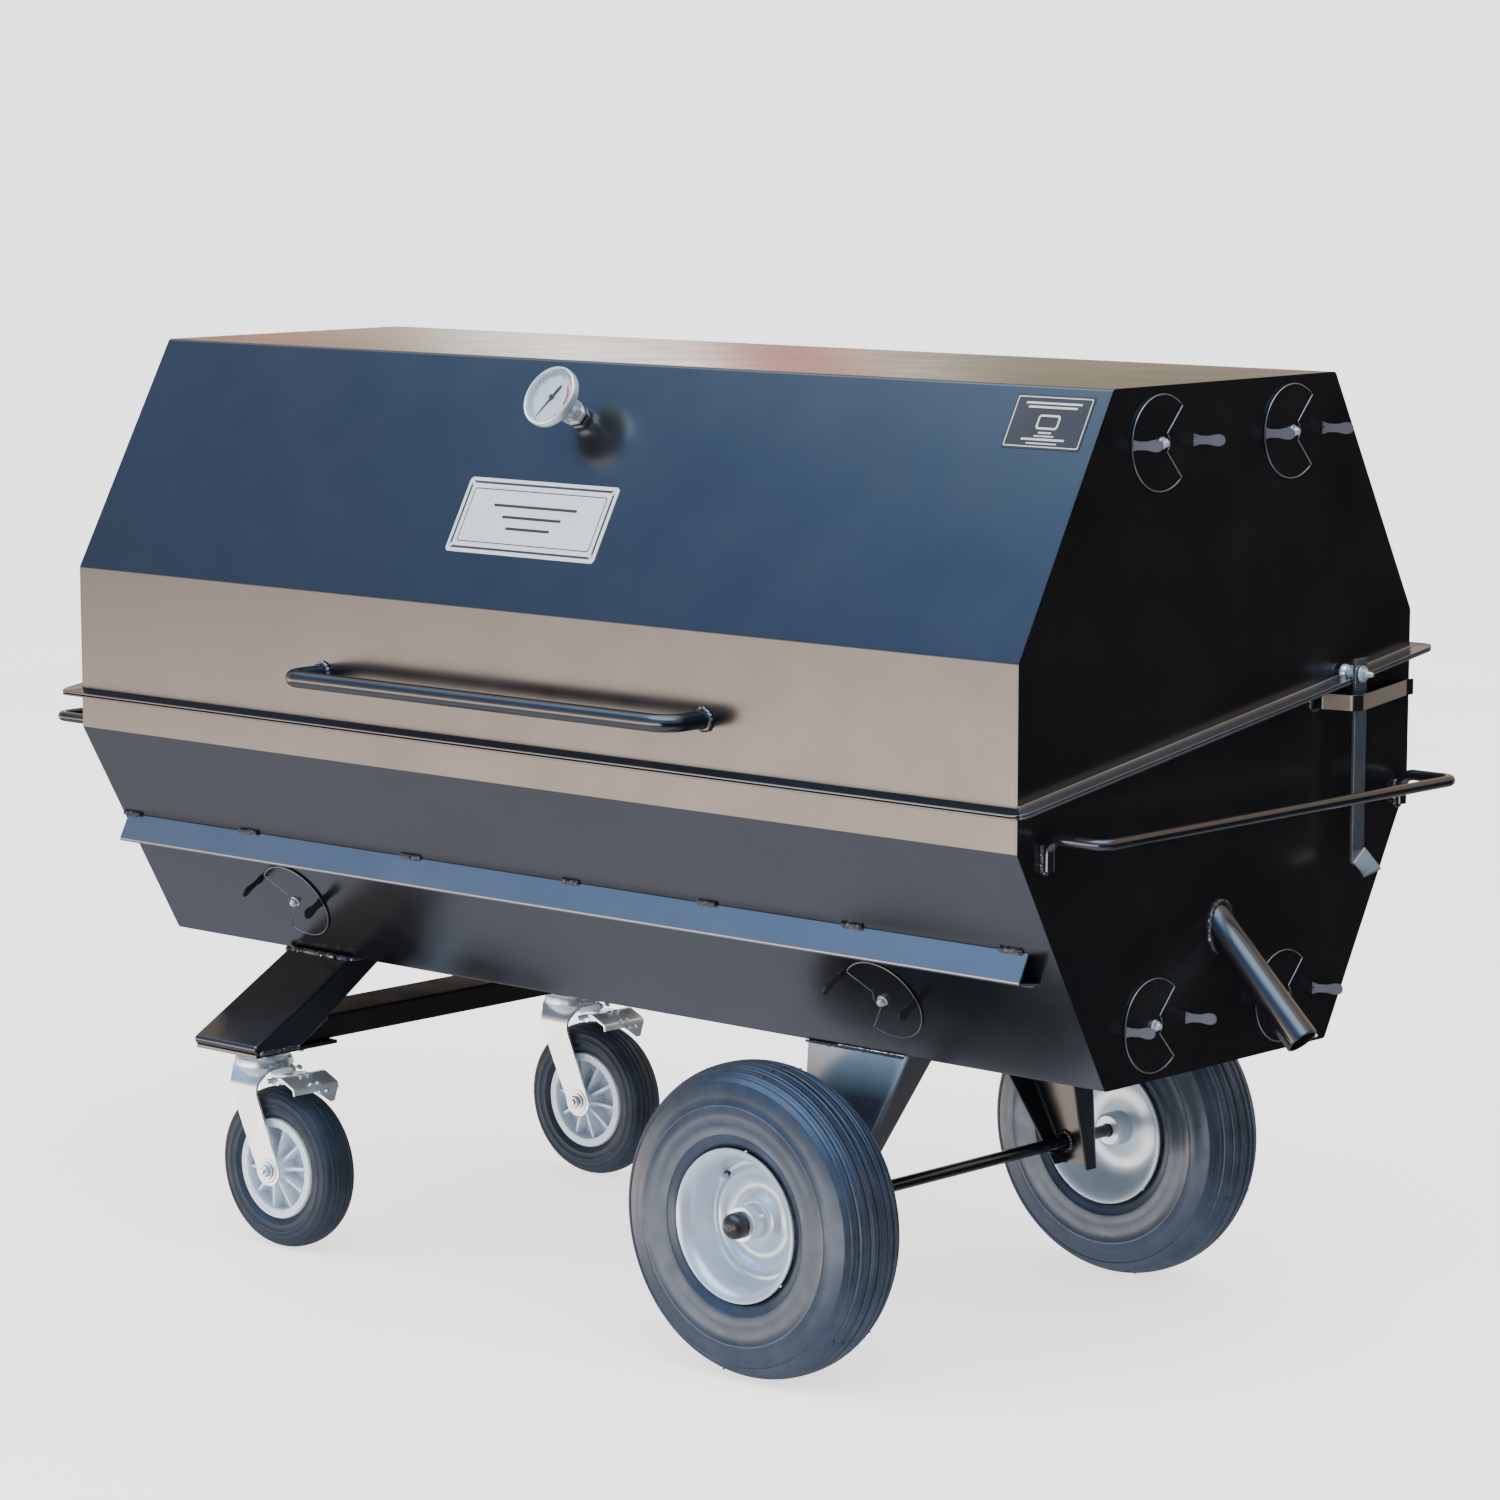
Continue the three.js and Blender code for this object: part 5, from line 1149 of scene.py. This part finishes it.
def build_inside():
    spit_line = Place((0, 0, SPIT_Z), **ALONG_X)
    shaft = Shape().disc(SPIT_R, -1028, 938, spit_line, 48, 2.5)
    shaft.piece("spit_shaft", "spit", "steel", "stainless", stands_for=["spit_rod"])
    for side, x, facing in (("left", -520, 1), ("right", 520, -1)):
        place = Place((x, 0, SPIT_Z), (0, 1, 0), (facing, 0, 0))
        fork = Shape().pipe(SPIT_R + 0.3, 22, -18, 18, place, 48, 1.5)
        for k in range(4):
            spot = place.at(turn=90 * k)
            path = resample(rounded([(20, 0, 0), (68, 0, 0), (68, 0, 150)], 12, 8), 5)
            radii = [5 if p[2] < 100 else 5 - 4.2 * (p[2] - 100) / 50 for p in path]
            fork.tube(spot(path), radii, 16)
        screw = Place(place.origin, (0, 0, 1), place.axes[0] + place.axes[1])
        fork.thread(5, 15, 42, screw, 1.6).pipe(5, 9, 21.5, 27, screw, 20, 0.5)
        fork.disc(8, 40, 50, screw, 24, 1.5)
        for t in (-1, 1):
            wing = rounded([(3, 44), (5, 60), (12, 66), (15, 60), (11, 48), (3, 44)], 3, 3)
            local = Place()
            local.origin = screw.origin
            across, along = t * screw.axes[0], screw.axes[2]
            local.axes = np.array([across, along, np.cross(across, along)])
            fork.prism(wing[:-1], -1.9, 1.9, local)
        fork.piece(f"spit_fork_{side}", "spit", "steel", "stainless", 0.5, stands_for=[f"fork_{side}"])

    bars = Shape()
    half = -low_y(GRATE_Z) - SHEET - 2
    for x in np.linspace(-900, 888, 10):
        bars.block(x, x + 12, -half, half, GRATE_Z, GRATE_Z + 6)
    for y in (-half, -6, half - 12):
        bars.block(-900, 900, y, y + 12, GRATE_Z + 0.1, GRATE_Z + 6.1)
    for k in range(1, 90):
        if k % 10:
            x = -900 + 20 * k
            bars.block(x - 1.5, x + 1.5, -half + 4, half - 4, GRATE_Z + 1, GRATE_Z + 5)
    bars.piece("charcoal_grate", "frame", "soot", "dark_steel", stands_for=["fire_grate"])

    angle = math.atan(25 / 1880)
    along, up = (math.cos(angle), 0, -math.sin(angle)), (math.sin(angle), 0, math.cos(angle))
    pan_place = Place((0, 0, 702.4), along, up)
    pan = Shape()
    pan.block(-929.7, 929.7, -119.5, 119.5, 0, 2, pan_place)
    for y0, y1 in ((-120, -118), (118, 120)):
        pan.block(-930, 930, y0, y1, 0.1, 34, pan_place)
    pan.block(-930, -928, -119.8, 119.8, 0.1, 33.9, pan_place)
    pan.block(928, 930, -119.8, -16, 0.1, 33.9, pan_place)
    pan.block(928, 930, 16, 119.8, 0.1, 33.9, pan_place)
    pan.block(928, 940, -18, 18, 0.1, 2.1, pan_place)
    for y in (-18, 16):
        pan.block(929, 940, y, y + 2, 0.2, 20, pan_place)
    pan.piece("grease_pan", "frame", "steel", "stainless", 0.4, stands_for=["drip_pan"])

    wall = HALF_LENGTH - SHEET - 0.3
    slot = SPIT_R + 0.8
    notch = [(slot, 872), (slot, SPIT_Z)] + arc(slot, 0, -180, 16, (0, SPIT_Z))[1:] + [(-slot, 872)]
    face = [(-34, 872), (-34, 780), (34, 780), (34, 872)] + notch
    cradle = Shape().prism(face, wall - 36, wall - 31, END_ON)
    for y0, y1 in ((-34, -29), (29, 34)):
        cradle.block(wall - 35.9, wall - 0.1, y0, y1, 780, 871.9)
    cradle.block(wall - 34, wall - 3, -31, 31, 780, 784)
    cradle.piece("cradle_channel", "frame", "dark", "dark_steel", 0.8, stands_for=["spit_cradle"])
    bush = Shape().pipe(SPIT_R + 0.6, 17, -978, -940, spit_line, 48, 1)
    bush.pipe(17.2, 30, -965.3, -960.3, spit_line, 48, 0.8)
    for k in range(3):
        a = math.radians(120 * k + 90)
        spot = Place((0, 23.5 * math.cos(a), SPIT_Z + 23.5 * math.sin(a)), **ALONG_X)
        bush.turned([(0.01, -968.4), (2, -968.2), (3.6, -967), (4, -965.2), (0.01, -965.2)], spot, 20, False)
    bush.piece("wall_bush", "frame", "dark", "dark_steel", 0.3, stands_for=["drive_bush"])


def build_drive():
    wall = -HALF_LENGTH - 0.3
    xz = Place((0, 0, 0), (1, 0, 0), (0, -1, 0))
    path = rounded([(wall, 800), (wall, 742), (wall - 150, 742)], 8, 6)
    bracket = Shape().prism(sheet_outline(path, 4)[::-1], -70, 70, xz)
    bracket.prism([(wall - 3, 742.5), (wall - 138, 742.5), (wall - 3, 702)], -3, 3, xz)
    bracket.painted("drive_bracket", "frame", "paint", 0.8, stands_for=["motor_bracket"])
    studs = Shape()
    for y in (-52, 52):
        spot = Place((wall - 4.2, y, 780), (0, 1, 0), (-1, 0, 0))
        studs.pipe(4, 9, 0, 1.4, spot, 24, 0.2).nut(13, 1.4, 8, spot, y)
        for x in (-1068, -1000):
            spot = Place((x, y * 1.05, 754.2))
            studs.pipe(3, 7.5, 0, 1.2, spot, 24, 0.2).nut(10, 1.2, 6.2, spot, y + x)
            studs.thread(3, 6, 9, spot, 1.1)
    studs.plated("drive_bolts", "frame", 0.25)
    body = Shape().prism(rounded_rect(61, 110, 10), 754, 912, Place((-1015.5, 0, 0)))
    for y in (-55.2, 55.2):
        cover = Place((-1015.5, y, 836), (1, 0, 0), (0, math.copysign(1, y), 0))
        body.prism(rounded_rect(48, 120, 6), -0.4, 2.2, cover)
    body.block(-1080, -985, -62, 62, 746.3, 754)
    for x, low in ((-1060, 754), (-1000, 754)):
        body.block(x - 4, x + 4, -50, 50, low - 0.2, low + 9)
    body.pipe(SPIT_R + 0.6, 21, -985.4, -981.5, Place((0, 0, SPIT_Z), **ALONG_X), 40, 0.8)
    made = body.piece("gearbox_case", "frame", "motor", "motor_grey", stands_for=["gear_motor"])
    cut(made, Shape().disc(SPIT_R + 0.6, -1030, -975, Place((0, 0, SPIT_Z), **ALONG_X), 40))
    soften(made, 1.6, 3)
    can = Place((0, 0, 864), **ALONG_X)
    outline = [(0.01, -1122), (30, -1122), (37, -1120), (40, -1115), (40, -1108)]
    outline += [(38.6, -1107), (38.6, -1062), (40, -1061), (40, -1045.8), (0.01, -1045.8)]
    shell = Shape().turned(outline, can, 72, False)
    for k in range(28):
        spot = can.at(turn=360 / 28 * k)
        shell.block(38, 40, -1.1, 1.1, -1105, -1064, spot)
    for k in range(10):
        spot = can.at(turn=36 * k)
        shell.block(12, 27, -1.3, 1.3, -1121.98, -1121.2, spot)
    shell.piece("motor_can", "frame", "motor", "motor_grey")
    gland = Place((-1022.5, -69, 796), (1, 0, 0), (0, -1, 0))
    inlet = Shape().prism(rounded_rect(34, 31, 3), -14, 1, gland, [circle(9, 24)])
    inlet.pipe(4, 8.8, -13.5, 0.4, gland, 24, 0.8)
    inlet.piece("power_inlet", "frame", "cap", "motor_grey", 0.5)


# ---- hinge leaves, stage and light --------------------------------------------------------------


def build_hinges():
    for part in ("tub_left", "tub_right", "lid_left", "lid_right"):
        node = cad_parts["hinge_leaf_" + part]
        for slot in node.material_slots:
            slot.material = LOOKS["paint"]
        soften(node, 0.4)
    for side, x in (("left", -620), ("right", 620)):
        for body, offset, seed in (("lid", RIM_HIGH + 0.3, 3), ("frame", RIM_LOW - 0.3, 8)):
            beads = Shape()
            for s in (-1, 1):
                edge = [(x + s * 42.5, y, seam_z(y, offset)) for y in (461, 476)]
                beads.bead(edge, 2.0, seed + s, pitch=4)
            beads.weld(f"hinge_{body}_{side}_welds", body)


def build_stage():
    floor = bpy.data.meshes.new("studio_floor")
    floor.from_pydata([(-80, -80, 0), (80, -80, 0), (80, 80, 0), (-80, 80, 0)], [], [(0, 1, 2, 3)])
    floor.materials.append(floor_material())
    made = bpy.data.objects.new("studio_floor", floor)
    bpy.context.scene.collection.objects.link(made)
    made.visible_glossy = False


FRONT_SKY = [
    (-1.0, (0.8, 0.88, 1.05)), (-0.66, (0.85, 0.9, 1.08)), (-0.36, (0.9, 0.9, 0.95)),
    (-0.21, (7.4, 6.2, 5.1)), (-0.12, (7.4, 6.2, 5.1)), (0.02, (2.0, 1.72, 1.45)),
    (0.2, (0.9, 0.85, 0.85)), (0.36, (0.3, 0.56, 1.15)), (0.62, (0.33, 0.68, 1.5)),
    (0.82, (3.2, 4.4, 5.6)), (1.0, (3.2, 4.2, 5.4)),
]
BACK_SKY = [
    (-1.0, (0.35, 0.37, 0.4)), (-0.3, (0.3, 0.3, 0.3)), (0.0, (0.95, 0.8, 0.64)), (0.16, (0.95, 0.8, 0.64)),
    (0.35, (0.9, 0.72, 0.55)), (0.7, (0.8, 0.62, 0.48)), (1.0, (2.0, 2.2, 2.5)),
]


def build_world():
    """Soft white light for everything, and a coloured surrounding that only shiny surfaces show."""
    world = bpy.data.worlds.new("studio")
    bpy.context.scene.world = world
    world.use_nodes = True
    tree = world.node_tree
    background = tree.nodes["Background"]
    split = tree.nodes.new("ShaderNodeSeparateXYZ")
    coords = tree.nodes.new("ShaderNodeTexCoord").outputs["Generated"]
    tree.links.new(coords, split.inputs[0])

    def span(source, start, end, low, high):
        node = tree.nodes.new("ShaderNodeMapRange")
        for key, value in (("From Min", start), ("From Max", end), ("To Min", low), ("To Max", high)):
            node.inputs[key].default_value = value
        tree.links.new(source, node.inputs["Value"])
        return node.outputs["Result"]

    def times(a, b):
        node = tree.nodes.new("ShaderNodeMath")
        node.operation = "MULTIPLY"
        tree.links.new(a, node.inputs[0])
        tree.links.new(b, node.inputs[1])
        return node.outputs[0]

    def ramp(source, stops):
        node = tree.nodes.new("ShaderNodeValToRGB")
        while len(node.color_ramp.elements) < len(stops):
            node.color_ramp.elements.new(0.5)
        for element, (at, colour) in zip(node.color_ramp.elements, stops):
            element.position = at
            element.color = (*colour, 1)
        tree.links.new(source, node.inputs["Fac"])
        return node.outputs["Color"]

    def mixed(share, a, b):
        node = tree.nodes.new("ShaderNodeMix")
        node.data_type = "RGBA"
        for source, name in ((share, "Factor"), (a, "A"), (b, "B")):
            if isinstance(source, tuple):
                node.inputs[name].default_value = (*source, 1)
            else:
                tree.links.new(source, node.inputs[name])
        return node.outputs["Result"]

    height = span(split.outputs["Z"], -1, 1, 0, 1)
    front = ramp(height, [((z + 1) / 2, colour) for z, colour in FRONT_SKY])
    back = ramp(height, [((z + 1) / 2, colour) for z, colour in BACK_SKY])
    stops = [
        (0.0, (0.9, 0.7, 0.5)), (0.12, (1.3, 0.6, 0.42)), (0.25, (0.8, 0.62, 0.42)), (0.36, (3.6, 3.4, 3.2)),
        (0.5, (3.8, 3.6, 3.4)), (0.56, (1.5, 0.5, 0.4)), (0.64, (1.5, 0.5, 0.4)), (0.7, (1.9, 1.7, 1.4)),
        (0.8, (0.62, 0.56, 0.38)), (1.0, (0.55, 0.47, 0.33)),
    ]
    coloured = ramp(span(split.outputs["X"], -0.76, -0.6, 0, 1), stops)
    low_sky = times(span(split.outputs["Z"], 0.0, 0.08, 0, 1), span(split.outputs["Z"], 0.3, 0.22, 0, 1))
    back = mixed(low_sky, back, coloured)
    shade = span(split.outputs["X"], -0.8, -0.6, 0.65, 0)
    fade = times(shade, span(split.outputs["Z"], -0.2, -0.08, 0.6, 1))
    front = mixed(fade, front, (0.25, 0.25, 0.27))
    sky = mixed(span(split.outputs["Y"], -0.05, 0.12, 0, 1), front, back)
    level = times(span(split.outputs["Z"], -0.75, -0.6, 0, 1), span(split.outputs["Z"], 0.28, 0.12, 0, 1))
    dark = times(span(split.outputs["X"], 0.26, 0.4, 0, 1), level)
    sky = mixed(dark, sky, (0.008, 0.008, 0.011))
    rays = tree.nodes.new("ShaderNodeLightPath").outputs
    light = mixed(rays["Is Glossy Ray"], (1.12, 1.14, 1.18), sky)
    seen = mixed(rays["Is Camera Ray"], light, (2.48, 2.51, 2.55))
    tree.links.new(seen, background.inputs["Color"])
    background.inputs["Strength"].default_value = 1


def build_lights():
    for name, spot, size, watts in (
        ("key", (3.5, -2.5, 6.0), (5, 5), 300),
        ("fill", (-4.5, -5.5, 4.0), (4, 3), 160),
    ):
        data = bpy.data.lights.new(name, "AREA")
        data.shape, data.size, data.size_y = "RECTANGLE", *size
        data.energy = watts
        lamp = bpy.data.objects.new(name, data)
        lamp.location = spot
        lamp.rotation_euler = (Vector((0, 0, 0.6)) - Vector(spot)).to_track_quat("-Z", "Y").to_euler()
        lamp.visible_glossy = False
        bpy.context.scene.collection.objects.link(lamp)


# ---- build --------------------------------------------------------------------------------------

place_camera()
LOOKS = make_materials()
build_sheets()
build_trim()
build_dampers()
build_lid_fittings()
build_legs()
build_wheels()
build_casters()
build_inside()
build_drive()
build_hinges()
build_stage()
build_world()
build_lights()
